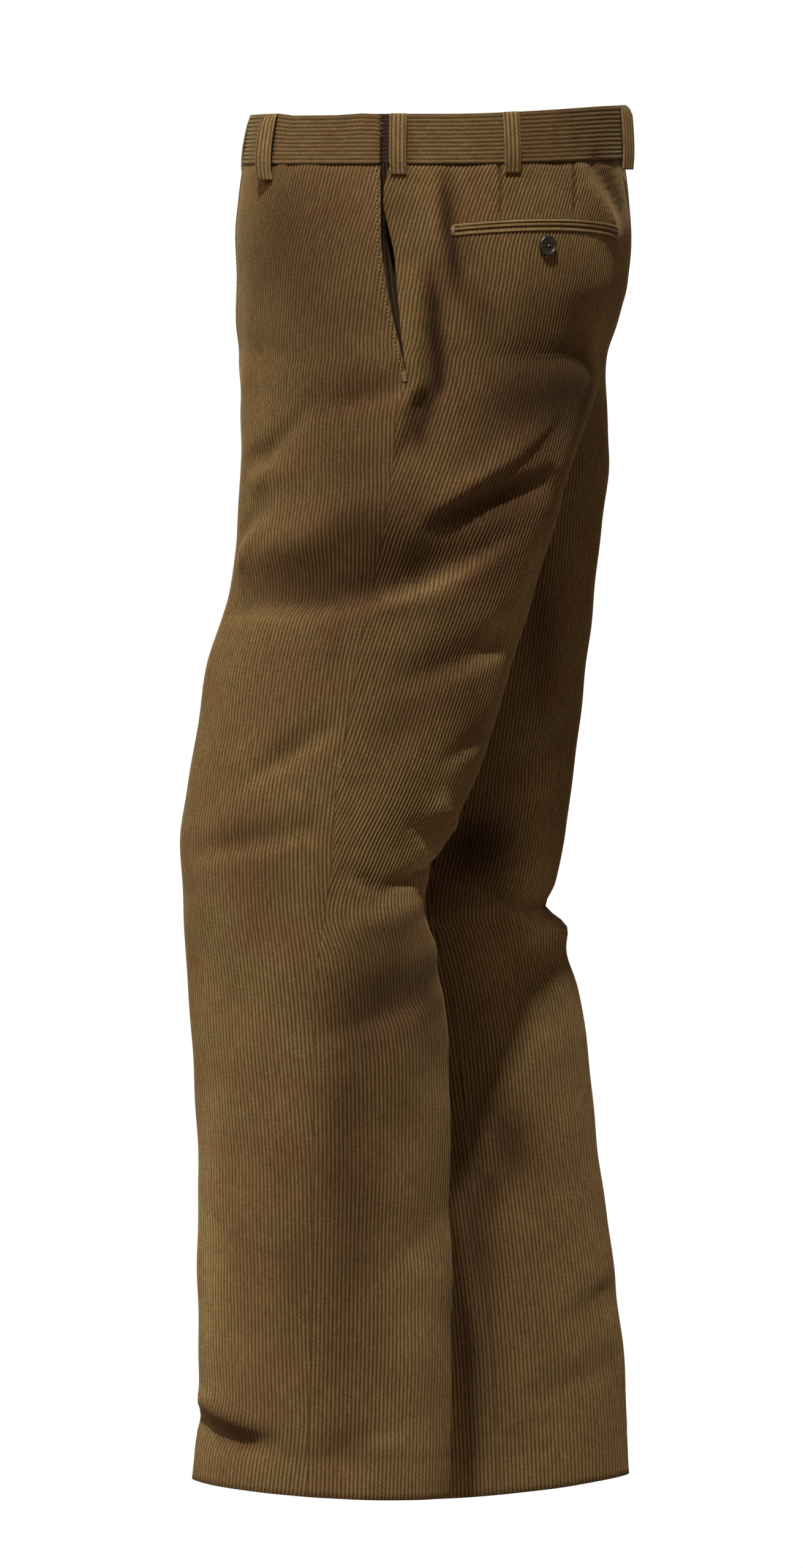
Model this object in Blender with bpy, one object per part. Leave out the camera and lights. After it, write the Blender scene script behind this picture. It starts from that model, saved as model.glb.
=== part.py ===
"""Corduroy trousers, filled out as if worn: a hollow shell of cut and sewn cloth pieces.

Metres, +Z up. The origin is the middle of the waist opening, half-way up the waistband. The front
faces -Y and the wearer's left is +X. The left leg steps forward with a bent knee, the right leg
stands back. Each leg is a front and a back panel, which meet at the side seam and the inseam.

A place on the cloth is a height z and a distance s along the cloth from the side seam, negative
towards the front. Pieces that lie on a panel are made from the panel's own places, moved out.
"""

import bmesh
import bpy
import numpy as np
from mathutils import Matrix, Vector

# Cloth and sewing sizes
WALL = 0.0018
SEAM_GAP = 0.0003
CENTRE_GAP = 0.0002
LIE_GAP = 0.0005

# Levels of the seat: the two legs start to part at FORK_TOP and are two tubes from CROTCH down
FORK_TOP = -0.165
CROTCH = -0.250
EDGE_MATCH_FADE = 0.090

# Waistband: its height, its wall of two layers and how far its face stands out from the panels
BAND_HEIGHT = 0.038
BAND_WALL = 0.0030
BAND_LIFT = 0.0008
BAND_TOP = BAND_HEIGHT / 2
WAIST_SEAM = -BAND_HEIGHT / 2
BAND_SPANS = 12
BAND_END_TUCK = 0.020
BAND_END_STEP = 0.0036
BAND_END_GAP = 0.0076

# The back of the waist rises above the front
BACK_RISE = 0.0075
BACK_RISE_START = 0.020
BACK_RISE_RUN = 0.125
BACK_RISE_POWER = 1.7
BACK_RISE_AT_SEAM = 0.55
BACK_RISE_FADE = 0.100

# Mesh density: spans from seam to crease and from crease to edge, and rows by level
SPANS = {-1: (7, 5), 1: (8, 5)}
ROW_BANDS = (
    # top, bottom, rows
    (WAIST_SEAM, FORK_TOP, 9),
    (FORK_TOP, CROTCH, 7),
    (CROTCH, -0.500, 11),
    (-0.500, -0.680, 13),
    (-0.680, -0.940, 8),
)
HEM_ROWS = 6
ARC_SAMPLES = 160

# Horizontal sections of each half, top to bottom. front and back are the two crease lines, out
# the side's distance from the middle plane, inn the inner side's below the crotch, seam the side
# seam. The outline is x = (1 - |y|^square)^point of its half width, so square and point set how
# boxy a section is and how sharply it is creased.
LEFT_SECTIONS = (
    # z, front, back, out, inn, seam, square, point
    (0.019, -0.145, 0.143, 0.150, 0.000, -0.033, 2.50, 0.43),
    (-0.019, -0.150, 0.145, 0.153, 0.000, -0.033, 2.50, 0.43),
    (-0.045, -0.152, 0.148, 0.158, 0.000, -0.032, 2.50, 0.43),
    (-0.075, -0.1545, 0.150, 0.163, 0.000, -0.031, 2.45, 0.43),
    (-0.110, -0.154, 0.148, 0.168, 0.000, -0.027, 2.35, 0.44),
    (-0.140, -0.154, 0.140, 0.171, 0.000, -0.021, 2.25, 0.46),
    (-0.165, -0.153, 0.132, 0.172, 0.000, -0.015, 2.20, 0.48),
    (-0.186, -0.150, 0.127, 0.172, 0.000, -0.0115, 2.15, 0.49),
    (-0.201, -0.147, 0.123, 0.172, 0.000, -0.018, 2.10, 0.50),
    (-0.250, -0.146, 0.109, 0.170, 0.000, -0.023, 2.05, 0.52),
    (-0.300, -0.148, 0.095, 0.167, 0.006, -0.030, 2.00, 0.54),
    (-0.345, -0.154, 0.081, 0.165, 0.011, -0.040, 2.00, 0.57),
    (-0.400, -0.1695, 0.064, 0.163, 0.016, -0.050, 2.00, 0.60),
    (-0.450, -0.178, 0.050, 0.161, 0.020, -0.058, 2.00, 0.63),
    (-0.500, -0.187, 0.032, 0.159, 0.023, -0.067, 2.00, 0.65),
    (-0.545, -0.1915, 0.010, 0.1575, 0.026, -0.069, 2.00, 0.65),
    (-0.590, -0.190, -0.0045, 0.1565, 0.029, -0.075, 2.00, 0.66),
    (-0.625, -0.187, 0.0065, 0.156, 0.031, -0.080, 2.00, 0.67),
    (-0.680, -0.1837, 0.0135, 0.156, 0.034, -0.083, 2.00, 0.68),
    (-0.800, -0.178, 0.018, 0.155, 0.040, -0.085, 2.00, 0.70),
    (-0.920, -0.178, 0.018, 0.153, 0.045, -0.086, 2.00, 0.70),
    (-0.975, -0.177, 0.0175, 0.152, 0.047, -0.088, 2.00, 0.70),
    (-1.039, -0.184, 0.017, 0.151, 0.049, -0.089, 2.00, 0.70),
)
RIGHT_SECTIONS = LEFT_SECTIONS[:7] + (
    (-0.186, -0.149, 0.130, 0.172, 0.000, -0.0115, 2.15, 0.49),
    (-0.201, -0.147, 0.1295, 0.172, 0.000, -0.016, 2.10, 0.50),
    (-0.250, -0.140, 0.130, 0.170, 0.000, -0.010, 2.05, 0.52),
    (-0.300, -0.128, 0.124, 0.167, 0.006, -0.007, 2.00, 0.54),
    (-0.345, -0.120, 0.119, 0.165, 0.011, -0.004, 2.00, 0.57),
    (-0.400, -0.112, 0.113, 0.163, 0.016, 0.003, 2.00, 0.60),
    (-0.450, -0.107, 0.1075, 0.161, 0.020, 0.006, 2.00, 0.63),
    (-0.500, -0.103, 0.102, 0.159, 0.023, 0.010, 2.00, 0.65),
    (-0.545, -0.101, 0.096, 0.1575, 0.026, 0.012, 2.00, 0.65),
    (-0.590, -0.099, 0.088, 0.1565, 0.029, 0.011, 2.00, 0.66),
    (-0.606, -0.098, 0.087, 0.156, 0.030, 0.011, 2.00, 0.66),
    (-0.622, -0.096, 0.093, 0.156, 0.031, 0.012, 2.00, 0.67),
    (-0.680, -0.087, 0.108, 0.156, 0.034, 0.014, 2.00, 0.68),
    (-0.800, -0.073, 0.122, 0.155, 0.040, 0.021, 2.00, 0.70),
    (-0.920, -0.060, 0.137, 0.154, 0.045, 0.033, 2.00, 0.70),
    (-0.975, -0.057, 0.142, 0.153, 0.047, 0.036, 2.00, 0.70),
    (-1.065, -0.055, 0.147, 0.152, 0.050, 0.040, 2.00, 0.70),
)

# Where the pressed creases run on in the seat, as distances from the middle plane
CREASES = (
    # z, front, back
    (0.019, 0.078, 0.062),
    (-0.100, 0.082, 0.070),
    (-0.200, 0.086, 0.082),
    (-0.250, 0.086, 0.086),
)

# Each leg: its side of the middle plane, its sections and how far its hem drops front to back
LEGS = {
    "left": {"side": 1, "sections": LEFT_SECTIONS, "hem_drop": -0.006},
    "right": {"side": -1, "sections": RIGHT_SECTIONS, "hem_drop": 0.0105},
}
OTHER = {"left": "right", "right": "left"}
HEM_DROP_START = -0.700
FRONT, BACK = -1, 1

# The largest folds, in millimetres. Each runs from (s0, z0) to (s1, z1), with s from the side seam
# or the inseam and negative towards the front. Its middle lies higher than a straight line by bow.
# It is a ridge, or a trough where height is negative.
FOLDS = (
    # leg, from seam, s0, z0, s1, z1, bow, height, width
    # hip: a fold under the waistband, the drape beside the pocket, the bend of the thigh
    ("left", "side", 52, -22, 57, -102, 0, -4.5, 9),
    ("left", "side", 31, -126, 13, -238, 0, -6.0, 12),
    ("left", "side", 122, -206, 34, -278, -3, 6.0, 15),
    ("left", "side", 118, -236, 28, -304, -3, -6.0, 17),
    ("left", "side", -130, -264, -78, -207, 0, 4.5, 12),
    ("left", "side", -135, -238, -95, -197, 0, -4.5, 10),
    ("left", "side", -108, -326, 72, -288, -10, 4.5, 20),
    ("left", "side", -104, -352, 72, -318, -10, -6.5, 15),
    # thigh and knee of the left leg
    ("left", "side", 46, -409, 115, -386, 0, -3.5, 16),
    ("left", "side", 84, -470, 118, -456, 0, -3.5, 14),
    ("left", "side", 62, -552, 116, -526, 0, -5.0, 11),
    ("left", "side", 46, -574, 110, -561, 0, -7.0, 10),
    ("left", "side", 45, -598, 115, -590, 0, 5.0, 12),
    ("left", "side", 20, -661, 112, -632, 3, -6.0, 20),
    ("left", "side", -112, -545, -22, -527, 0, -3.0, 12),
    ("left", "side", -79, -495, -18, -451, 0, -3.0, 12),
    ("left", "inseam", -60, -350, 80, -300, -6, -5.0, 18),
    ("left", "inseam", 30, -574, 105, -558, 0, -6.5, 11),
    ("left", "inseam", 20, -596, 105, -588, 0, 4.5, 12),
    ("left", "inseam", 10, -650, 100, -628, -3, -5.0, 18),
    # front of the left hem
    ("left", "side", -74, -981, -26, -991, -1, 5.0, 9),
    ("left", "side", -90, -990, -30, -998, -6, -6.0, 9),
    # right leg
    ("right", "side", 52, -22, 58, -102, 0, -4.0, 9),
    ("right", "side", 30, -130, 18, -230, 0, -5.5, 12),
    ("right", "side", 118, -214, 40, -276, -3, 5.0, 15),
    ("right", "side", 115, -242, 35, -300, -3, -5.5, 18),
    ("right", "side", -125, -326, 60, -305, -10, -5.0, 18),
    ("right", "side", 40, -610, 105, -602, 0, -6.0, 10),
    ("right", "side", 45, -626, 105, -620, 0, 5.0, 11),
    ("right", "side", 30, -672, 100, -650, 2, -4.5, 18),
    ("right", "inseam", 50, -500, 110, -470, 0, -3.5, 13),
    ("right", "inseam", 35, -588, 105, -608, 4, -6.5, 10),
    ("right", "inseam", 45, -608, 105, -624, 3, 5.0, 11),
    ("right", "inseam", 10, -680, 90, -650, 3, -4.5, 18),
)
MM = 0.001
FOLD_STEPS = 7

# Side pocket: its mouth is the top of the front panel's side edge, which stands a little open
MOUTH_TOP = -0.0195
MOUTH_BOTTOM = -0.179
MOUTH_FRONT_LIFT = 0.0018
MOUTH_FRONT_REACH = 0.012
MOUTH_BACK_DIP = 0.0045
MOUTH_BACK_REACH = 0.010
FACING_WIDTH = 0.034
FACING_WALL = 0.0014
FACING_TOP = -0.022
FACING_BOTTOM = -0.196
FACING_LIFT = -0.0027
FACING_DIP = 0.0010
FACING_ROWS = 12
FACING_SPANS = 4

# Back pocket: two narrow jets, above and below a slit that bows up in its middle
POCKET_START = 0.0570
POCKET_END = 0.2180
POCKET_Z = -0.0675
POCKET_BOW = 0.0050
POCKET_SLANT = 0.0020
JET_WALL = 0.0014
UPPER_JET = (0.0060, 0.0003)
LOWER_JET = (-0.0003, -0.0036)
JET_SHORTEST = 0.003

# Button of the back pocket: a turned disc with a raised rim and four holes
BUTTON_PLACE = (0.1287, -0.0815)
BUTTON_PROFILE = ((0.0, 0.0), (0.0062, 0.0), (0.0075, 0.0012), (0.0074, 0.0024),
                  (0.0066, 0.0030), (0.0057, 0.0027), (0.0050, 0.0021), (0.0, 0.0019))
BUTTON_LIFT = 0.0007
BUTTON_SIDES = 24
BUTTON_HOLE = 0.0009
BUTTON_HOLE_FROM_MIDDLE = 0.0019

# Belt loops: a folded strip sewn at the waistband's top and again below it
LOOP_WIDTH = 0.0125
LOOP_WALL = 0.0018
LOOP_LINE = (
    # z, air under the loop
    (0.0186, 0.0011), (0.012, 0.0026), (0.004, 0.0034), (-0.005, 0.0038),
    (-0.014, 0.0038), (-0.022, 0.0034), (-0.0275, 0.0022), (-0.0305, 0.0008),
)
LOOP_PLACES = (
    # name, leg, s at the top, s at the bottom, how much further than usual it stands off
    ("front_left", "left", -0.1130, -0.1122, 1.0),
    ("side_left", "left", 0.0142, 0.0142, 1.0),
    ("back_left", "left", 0.1007, 0.1028, 1.0),
    ("centre_back", "left", 0.2666, 0.2640, 1.0),
    ("back_right", "right", 0.1010, 0.1020, 1.0),
    ("side_right", "right", 0.0142, 0.0142, 1.0),
    ("front_right", "right", -0.182, -0.186, 1.2),
)

# Fly: its facing lies behind the two fronts where they meet
FLY_TOP = -0.022
FLY_BOTTOM = -0.160
FLY_REACH = (-0.012, 0.036)
FLY_WALL = 0.0016
FLY_GAP = 0.0007
FLY_ROWS = 8
FLY_SPANS = 4


def flowing(table, column, z):
    """Read one column of a table at the heights z, on a smooth curve that never overshoots."""
    rows = np.array(table)[::-1]
    level, value = rows[:, 0], rows[:, column]
    step = np.diff(level)
    rise = np.diff(value) / step
    slope = np.zeros(len(level))
    same_way = rise[1:] * rise[:-1] > 0
    pair = np.where(same_way, rise[1:] + rise[:-1], 1.0)
    slope[1:-1] = np.where(same_way, 2 * rise[1:] * rise[:-1] / pair, 0.0)
    slope[0], slope[-1] = rise[0], rise[-1]
    z = np.clip(z, level[0], level[-1])
    i = np.clip(np.searchsorted(level, z) - 1, 0, len(step) - 1)
    t = (z - level[i]) / step[i]
    return (
        value[i] * (1 + 2 * t) * (1 - t) ** 2
        + slope[i] * step[i] * t * (1 - t) ** 2
        + value[i + 1] * t * t * (3 - 2 * t)
        + slope[i + 1] * step[i] * t * t * (t - 1)
    )


def ramp(value, start, end):
    """0 at start, 1 at end, eased at both."""
    t = np.clip((value - start) / (end - start), 0.0, 1.0)
    return t * t * (3 - 2 * t)


def section(leg, z):
    """The outline of one leg's half at the height z: its middle, half sizes and shape."""
    front, back, out, inn, seam, square, point = (
        flowing(LEGS[leg]["sections"], column, z) for column in range(1, 8)
    )
    if z > CROTCH:
        parted = np.clip((FORK_TOP - z) / (FORK_TOP - CROTCH), 0.0, 1.0)
        inn = -out * (1 - parted) / (1 + parted)
    return {
        "x": (out + inn) / 2,
        "y": (front + back) / 2,
        "wide": (out - inn) / 2,
        "deep": (back - front) / 2,
        "seam": seam,
        "square": square,
        "point": point,
    }


def outline(cut, turn):
    """Points of a section at the angles turn: 0 at the side, -pi/2 at the front crease."""
    sine = np.sin(turn)
    body = np.clip(1 - np.abs(sine) ** cut["square"], 0.0, 1.0) ** cut["point"]
    return cut["x"] + cut["wide"] * np.sign(np.cos(turn)) * body, cut["y"] + cut["deep"] * sine


def turn_at(cut, x):
    """The angle, up to pi/2, at which the outline's outer half is x from the middle plane."""
    share = np.clip((x - cut["x"]) / cut["wide"], 0.0, 1.0) ** (1 / cut["point"])
    return np.arcsin((1 - share) ** (1 / cut["square"]))


def edge_turn(cut):
    """The angle where the outline meets the middle plane, or pi on a leg: the inseam."""
    share = np.clip(cut["x"] / cut["wide"], 0.0, 1.0) ** (1 / cut["point"])
    return np.pi - np.arcsin((1 - share) ** (1 / cut["square"]))


def row(leg, face, z):
    """One level of a panel, from the side seam to its edge: angles and distances along the cloth."""
    cut = section(leg, z)
    seam = np.arcsin(np.clip((cut["seam"] - cut["y"]) / cut["deep"], -1, 1))
    crease = face * turn_at(cut, flowing(CREASES, 1 if face == FRONT else 2, z))
    edge = face * edge_turn(cut)
    turns = np.concatenate((
        np.linspace(seam, crease, ARC_SAMPLES),
        np.linspace(crease, edge, ARC_SAMPLES)[1:],
    ))
    x, y = outline(cut, turns)
    along = np.concatenate(([0.0], np.cumsum(np.hypot(np.diff(x), np.diff(y)))))
    return {
        "cut": cut,
        "turns": turns,
        "along": along,
        "to_crease": along[ARC_SAMPLES - 1],
        "whole": along[-1],
        "edge_y": y[-1],
    }


def outward(cut, turn):
    """Unit normals of the outline, in plan."""
    step = 1e-3
    x0, y0 = outline(cut, turn - step)
    x1, y1 = outline(cut, turn + step)
    size = np.hypot(x1 - x0, y1 - y0)
    return (y1 - y0) / size, (x0 - x1) / size


def fold_height(leg, face, level, along, z):
    """How far the folds move the cloth out, at distances along one level."""
    moved = np.zeros_like(along)
    for fold_leg, from_seam, *sizes in FOLDS:
        if fold_leg != leg:
            continue
        s0, z0, s1, z1, bow, height, width = (size * MM for size in sizes)
        s = face * (along if from_seam == "side" else level["whole"] - along)
        t = np.linspace(0.0, 1.0, FOLD_STEPS)[:, None]
        line_s = s0 + (s1 - s0) * t
        line_z = z0 + (z1 - z0) * t + bow * 4 * t * (1 - t)
        part_s, part_z = np.diff(line_s, axis=0), np.diff(line_z, axis=0)
        reach = part_s ** 2 + part_z ** 2
        near = np.clip(((s - line_s[:-1]) * part_s + (z - line_z[:-1]) * part_z) / reach, 0, 1)
        gap = np.hypot(s - line_s[:-1] - near * part_s, z - line_z[:-1] - near * part_z).min(axis=0)
        moved += height * np.exp(-((gap / width) ** 2))
    return moved


def cloth(leg, face, z, along, lift=0.0):
    """Points of one level's outer face at distances along it from the side seam, moved out by lift."""
    level = row(leg, face, z)
    cut = level["cut"]
    turn = np.interp(along, level["along"], level["turns"])
    x, y = outline(cut, turn)
    nx, ny = outward(cut, turn)
    apart = (row(OTHER[leg], face, z)["edge_y"] - level["edge_y"]) / 2
    near_edge = ramp(along, level["to_crease"], level["whole"])
    y = y + apart * near_edge * ramp(z, CROTCH - EDGE_MATCH_FADE, CROTCH)
    away = lift + fold_height(leg, face, level, along, z)
    height = z + waist_rise(y, z) + hem_slant(leg, cut, y, z)
    side = LEGS[leg]["side"]
    return np.stack((side * (x + nx * away + CENTRE_GAP / 2), y + ny * away, height), axis=-1)


def waist_rise(y, z):
    """The back of the waistband, and less so the seat below it, stands higher than the front."""
    along = np.clip((y - BACK_RISE_START) / BACK_RISE_RUN, 0.0, 1.2) ** BACK_RISE_POWER
    levels = (WAIST_SEAM - BACK_RISE_FADE, WAIST_SEAM, BAND_TOP)
    return BACK_RISE * along * np.interp(z, levels, (0.0, BACK_RISE_AT_SEAM, 1.0))


def hem_slant(leg, cut, y, z):
    """The hem isn't level: it drops towards the heel on the left leg and rises on the right."""
    bottom = LEGS[leg]["sections"][-1][0]
    return LEGS[leg]["hem_drop"] * ramp(z, HEM_DROP_START, bottom) * (y - cut["y"]) / cut["deep"]


def mouth_open(z):
    """How open the side pocket's mouth is at z: 0 at its ends and 1 half-way down."""
    return np.sin(np.pi * np.clip((z - MOUTH_BOTTOM) / (MOUTH_TOP - MOUTH_BOTTOM), 0, 1)) ** 2


def mouth_lift(face, z, along):
    """The front panel's mouth edge stands out and the back panel beside it sinks in."""
    if face == FRONT:
        return MOUTH_FRONT_LIFT * mouth_open(z) * np.exp(-((along / MOUTH_FRONT_REACH) ** 2))
    return -MOUTH_BACK_DIP * mouth_open(z) * np.exp(-((along / MOUTH_BACK_REACH) ** 2))


def material(name, colour, roughness, metallic=0.0):
    made = bpy.data.materials.new(name)
    made.use_nodes = True
    shader = made.node_tree.nodes["Principled BSDF"]
    shader.inputs["Base Color"].default_value = (*colour, 1.0)
    shader.inputs["Roughness"].default_value = roughness
    shader.inputs["Metallic"].default_value = metallic
    made.diffuse_color = (*colour, 1.0)
    return made


def place(name, shape, finish, group):
    """Keep a bmesh as one named piece with its faces pointing out."""
    bmesh.ops.recalc_face_normals(shape, faces=shape.faces)
    mesh = bpy.data.meshes.new(name)
    shape.to_mesh(mesh)
    shape.free()
    mesh.materials.append(finish)
    mesh.shade_smooth()
    mesh.set_sharp_from_angle(angle=0.7)
    piece = bpy.data.objects.new(name, mesh)
    group.objects.link(piece)
    return piece


def wall(name, outer, inner, finish):
    """A closed wall of cloth lofted between two grids of points, rows by columns."""
    shape = bmesh.new()
    outer = [[shape.verts.new(point) for point in line] for line in outer]
    inner = [[shape.verts.new(point) for point in line] for line in inner]
    for grid in (outer, inner):
        for upper, lower in zip(grid, grid[1:]):
            for i in range(len(upper) - 1):
                shape.faces.new((upper[i], lower[i], lower[i + 1], upper[i + 1]))
    rims = [
        (outer[0], inner[0]),
        (outer[-1], inner[-1]),
        ([line[0] for line in outer], [line[0] for line in inner]),
        ([line[-1] for line in outer], [line[-1] for line in inner]),
    ]
    for face_side, body_side in rims:
        for i in range(len(face_side) - 1):
            shape.faces.new((face_side[i], face_side[i + 1], body_side[i + 1], body_side[i]))
    return place(name, shape, finish, parts)


def columns_at(leg, face, z):
    """Distances from the side seam of a panel's columns of points at the height z."""
    level = row(leg, face, z)
    to_crease = np.linspace(SEAM_GAP / 2, level["to_crease"], SPANS[face][0] + 1)
    to_edge = np.linspace(level["to_crease"], level["whole"] - SEAM_GAP / 2, SPANS[face][1] + 1)
    return np.concatenate((to_crease, to_edge[1:]))


def levels_of(leg):
    """Heights of a panel's rows of points, from the waist seam to the hem."""
    levels = [WAIST_SEAM - SEAM_GAP / 2]
    for top, low, count in ROW_BANDS:
        levels += list(np.linspace(top, low, count + 1)[1:])
    return levels + list(np.linspace(levels[-1], LEGS[leg]["sections"][-1][0], HEM_ROWS + 1)[1:])


def panel(leg, face, finish):
    """A front or back panel, from the waist seam to the hem."""
    outer, inner = [], []
    for z in levels_of(leg):
        along = columns_at(leg, face, z)
        lift = mouth_lift(face, z, along)
        outer.append(cloth(leg, face, z, along, lift))
        inner.append(cloth(leg, face, z, along, lift - WALL))
    return wall(f"{leg}_{'front' if face == FRONT else 'back'}", outer, inner, finish)


def on_panel(leg, s, z, lift):
    """A point over the flat facets of the panel at the place (s, z), moved out by lift.

    A distance past the centre back seam runs on over the other leg's panel.
    """
    to_middle = row(leg, BACK, z)["whole"]
    if s > to_middle:
        leg, s = OTHER[leg], 2 * to_middle - s
    face = FRONT if s < 0 else BACK
    levels = levels_of(leg)
    if z >= levels[0]:
        return cloth(leg, face, z, np.array([abs(s)]), lift)[0]
    low = next(i for i, level in enumerate(levels) if level <= z)
    point = np.zeros(3)
    for i, share in ((low - 1, z - levels[low]), (low, levels[low - 1] - z)):
        along = columns_at(leg, face, levels[i])
        corners = cloth(leg, face, levels[i], along, mouth_lift(face, levels[i], along) + lift)
        there = np.array([np.interp(abs(s), along, corners[:, axis]) for axis in range(3)])
        point += there * share / (levels[low - 1] - levels[low])
    return point


def patch(name, leg, spots, lifts, thick, finish):
    """A piece that lies on a leg's panels: rows of (s, z) spots, moved out by lifts."""
    grids = ([], [])
    for line, line_lift in zip(spots, lifts):
        for grid, extra in zip(grids, (thick, 0.0)):
            grid.append([on_panel(leg, s, z, lift + extra) for (s, z), lift in zip(line, line_lift)])
    return wall(name, *grids, finish)


def band_points(columns, z, extra):
    """One level of a waistband piece; a column is leg, share of the panel's width, s, lift."""
    points = []
    for leg, face, share, s, lift in columns:
        along = share * row(leg, face, z)["whole"] + s
        points.append(cloth(leg, face, z, np.array([along]), BAND_LIFT + lift - extra)[0])
    return points


def waistband(name, columns, finish):
    levels = (BAND_TOP, 0.0, WAIST_SEAM + SEAM_GAP / 2)
    outer = [band_points(columns, z, 0.0) for z in levels]
    inner = [band_points(columns, z, BAND_WALL) for z in levels]
    return wall(name, outer, inner, finish)


def front_band(leg, finish):
    shares = np.linspace(0.0, 1.0, BAND_SPANS + 1)
    trims = [SEAM_GAP / 2] + [0.0] * (BAND_SPANS - 1) + [-SEAM_GAP / 2]
    columns = [(leg, FRONT, share, trim, 0.0) for share, trim in zip(shares, trims)]
    return waistband(f"waistband_front_{leg}", columns, finish)


def back_band(finish):
    """The back band runs round to both sides, where its ends step in behind the front bands."""
    tuck = [
        (FRONT, 0.0, BAND_END_TUCK, -BAND_END_STEP),
        (FRONT, 0.0, BAND_END_TUCK / 2, -BAND_END_STEP),
        (BACK, 0.0, 0.0, -BAND_END_STEP),
        (BACK, 0.0, BAND_END_GAP - BAND_WALL / 2, -BAND_END_STEP),
        (BACK, 0.0, BAND_END_GAP, 0.0),
    ]
    run = [(BACK, share, 0.0, 0.0) for share in np.linspace(0.0, 1.0, BAND_SPANS + 1)[1:-1]]
    half = tuck + run
    left = [("left", *column) for column in half]
    right = [("right", *column) for column in half]
    middle = [("left", BACK, 1.0, 0.0, 0.0)]
    return waistband("waistband_back", left + middle + right[::-1], finish)


def belt_loop(name, leg, s_top, s_bottom, stand_off, finish):
    top, bottom = LOOP_LINE[0][0], LOOP_LINE[-1][0]
    spots, lifts = [], []
    for i, (z, air) in enumerate(LOOP_LINE):
        s = s_bottom + (s_top - s_bottom) * (z - bottom) / (top - bottom)
        spots.append([(s - LOOP_WIDTH / 2, z), (s, z), (s + LOOP_WIDTH / 2, z)])
        at_end = i in (0, len(LOOP_LINE) - 1)
        lifts.append([air if at_end else air * stand_off] * 3)
    return patch(f"belt_loop_{name}", leg, spots, lifts, LOOP_WALL, finish)


def side_pocket_facing(leg, finish):
    """The facing behind the pocket's mouth: it follows the sunken back panel, under the front."""
    outer, inner = [], []
    for z in np.linspace(FACING_TOP, FACING_BOTTOM, FACING_ROWS):
        along = np.linspace(SEAM_GAP, FACING_WIDTH, FACING_SPANS + 1)
        sunk = FACING_DIP * mouth_open(z) * np.exp(-((along / FACING_WIDTH) ** 2))
        outer.append(cloth(leg, FRONT, z, along, FACING_LIFT - sunk))
        inner.append(cloth(leg, FRONT, z, along, FACING_LIFT - sunk - FACING_WALL))
    return wall(f"side_pocket_facing_{leg}", outer, inner, finish)


def pocket_line(s):
    """Height of the back pocket's slit at s."""
    middle, half = (POCKET_START + POCKET_END) / 2, (POCKET_END - POCKET_START) / 2
    t = (s - middle) / half
    return POCKET_Z - POCKET_BOW * t ** 2 - POCKET_SLANT * t


def back_pocket_jet(name, leg, edges, finish):
    """A jet follows the panel's columns of points, and has one more between each two."""
    columns = columns_at(leg, BACK, POCKET_Z)
    columns = np.sort(np.concatenate((columns, (columns[1:] + columns[:-1]) / 2)))
    inside = (columns > POCKET_START + JET_SHORTEST) & (columns < POCKET_END - JET_SHORTEST)
    across = np.concatenate(([POCKET_START], columns[inside], [POCKET_END]))
    spots = [[(s, pocket_line(s) + edge) for s in across] for edge in edges]
    lifts = [[LIE_GAP] * len(across) for edge in edges]
    return patch(f"{name}_{leg}", leg, spots, lifts, JET_WALL, finish)


def turned_to(leg, s, z, lift):
    """The frame of something round that lies flat on a panel: its +Z points away from the cloth."""
    reach = 0.004
    here = Vector(on_panel(leg, s, z, lift))
    beside = Vector(on_panel(leg, s + reach, z, lift)) - Vector(on_panel(leg, s - reach, z, lift))
    above = Vector(on_panel(leg, s, z + reach, lift)) - here
    along = beside.normalized() * LEGS[leg]["side"]
    normal = along.cross(above.normalized()).normalized()
    up = normal.cross(along)
    turn = Matrix((along, up, normal)).transposed().to_4x4()
    return Matrix.Translation(here) @ turn


def pocket_button(leg, finish):
    shape = bmesh.new()
    profile = [shape.verts.new((radius, 0.0, height)) for radius, height in BUTTON_PROFILE]
    edges = [shape.edges.new(pair) for pair in zip(profile, profile[1:])]
    bmesh.ops.spin(shape, geom=profile + edges, axis=(0, 0, 1), cent=(0, 0, 0), dvec=(0, 0, 0),
                   angle=2 * np.pi, steps=BUTTON_SIDES, use_merge=True, use_duplicate=False)
    bmesh.ops.remove_doubles(shape, verts=shape.verts, dist=1e-6)
    button = place(f"pocket_button_{leg}", shape, finish, parts)
    drill = bmesh.new()
    for turn in range(4):
        angle = np.pi / 4 + turn * np.pi / 2
        spot = Matrix.Translation((BUTTON_HOLE_FROM_MIDDLE * np.cos(angle),
                                   BUTTON_HOLE_FROM_MIDDLE * np.sin(angle), 0.001))
        bmesh.ops.create_cone(drill, cap_ends=True, segments=8, radius1=BUTTON_HOLE,
                              radius2=BUTTON_HOLE, depth=0.006, matrix=spot)
    cutter = place(f"button_drill_{leg}", drill, finish, cutters)
    cutter.hide_render = True
    cutter.display_type = "WIRE"
    frame = turned_to(leg, *BUTTON_PLACE, BUTTON_LIFT)
    button.matrix_world = frame
    cutter.matrix_world = frame
    holes = button.modifiers.new("holes", "BOOLEAN")
    holes.operation = "DIFFERENCE"
    holes.object = cutter


def fly_facing(finish):
    """A strip behind the middle of the fronts, across the line where they meet."""
    outer, inner = [], []
    lift = -WALL - FLY_GAP
    for z in np.linspace(FLY_TOP, FLY_BOTTOM, FLY_ROWS + 1):
        line = ([], [])
        for x in np.linspace(*FLY_REACH, FLY_SPANS + 1):
            leg = "left" if x > 0 else "right"
            along = np.array([row(leg, FRONT, z)["whole"] - abs(x)])
            for points, extra in zip(line, (0.0, FLY_WALL)):
                points.append(cloth(leg, FRONT, z, along, lift - extra)[0])
        outer.append(line[0])
        inner.append(line[1])
    return wall("fly_facing", outer, inner, finish)


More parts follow.
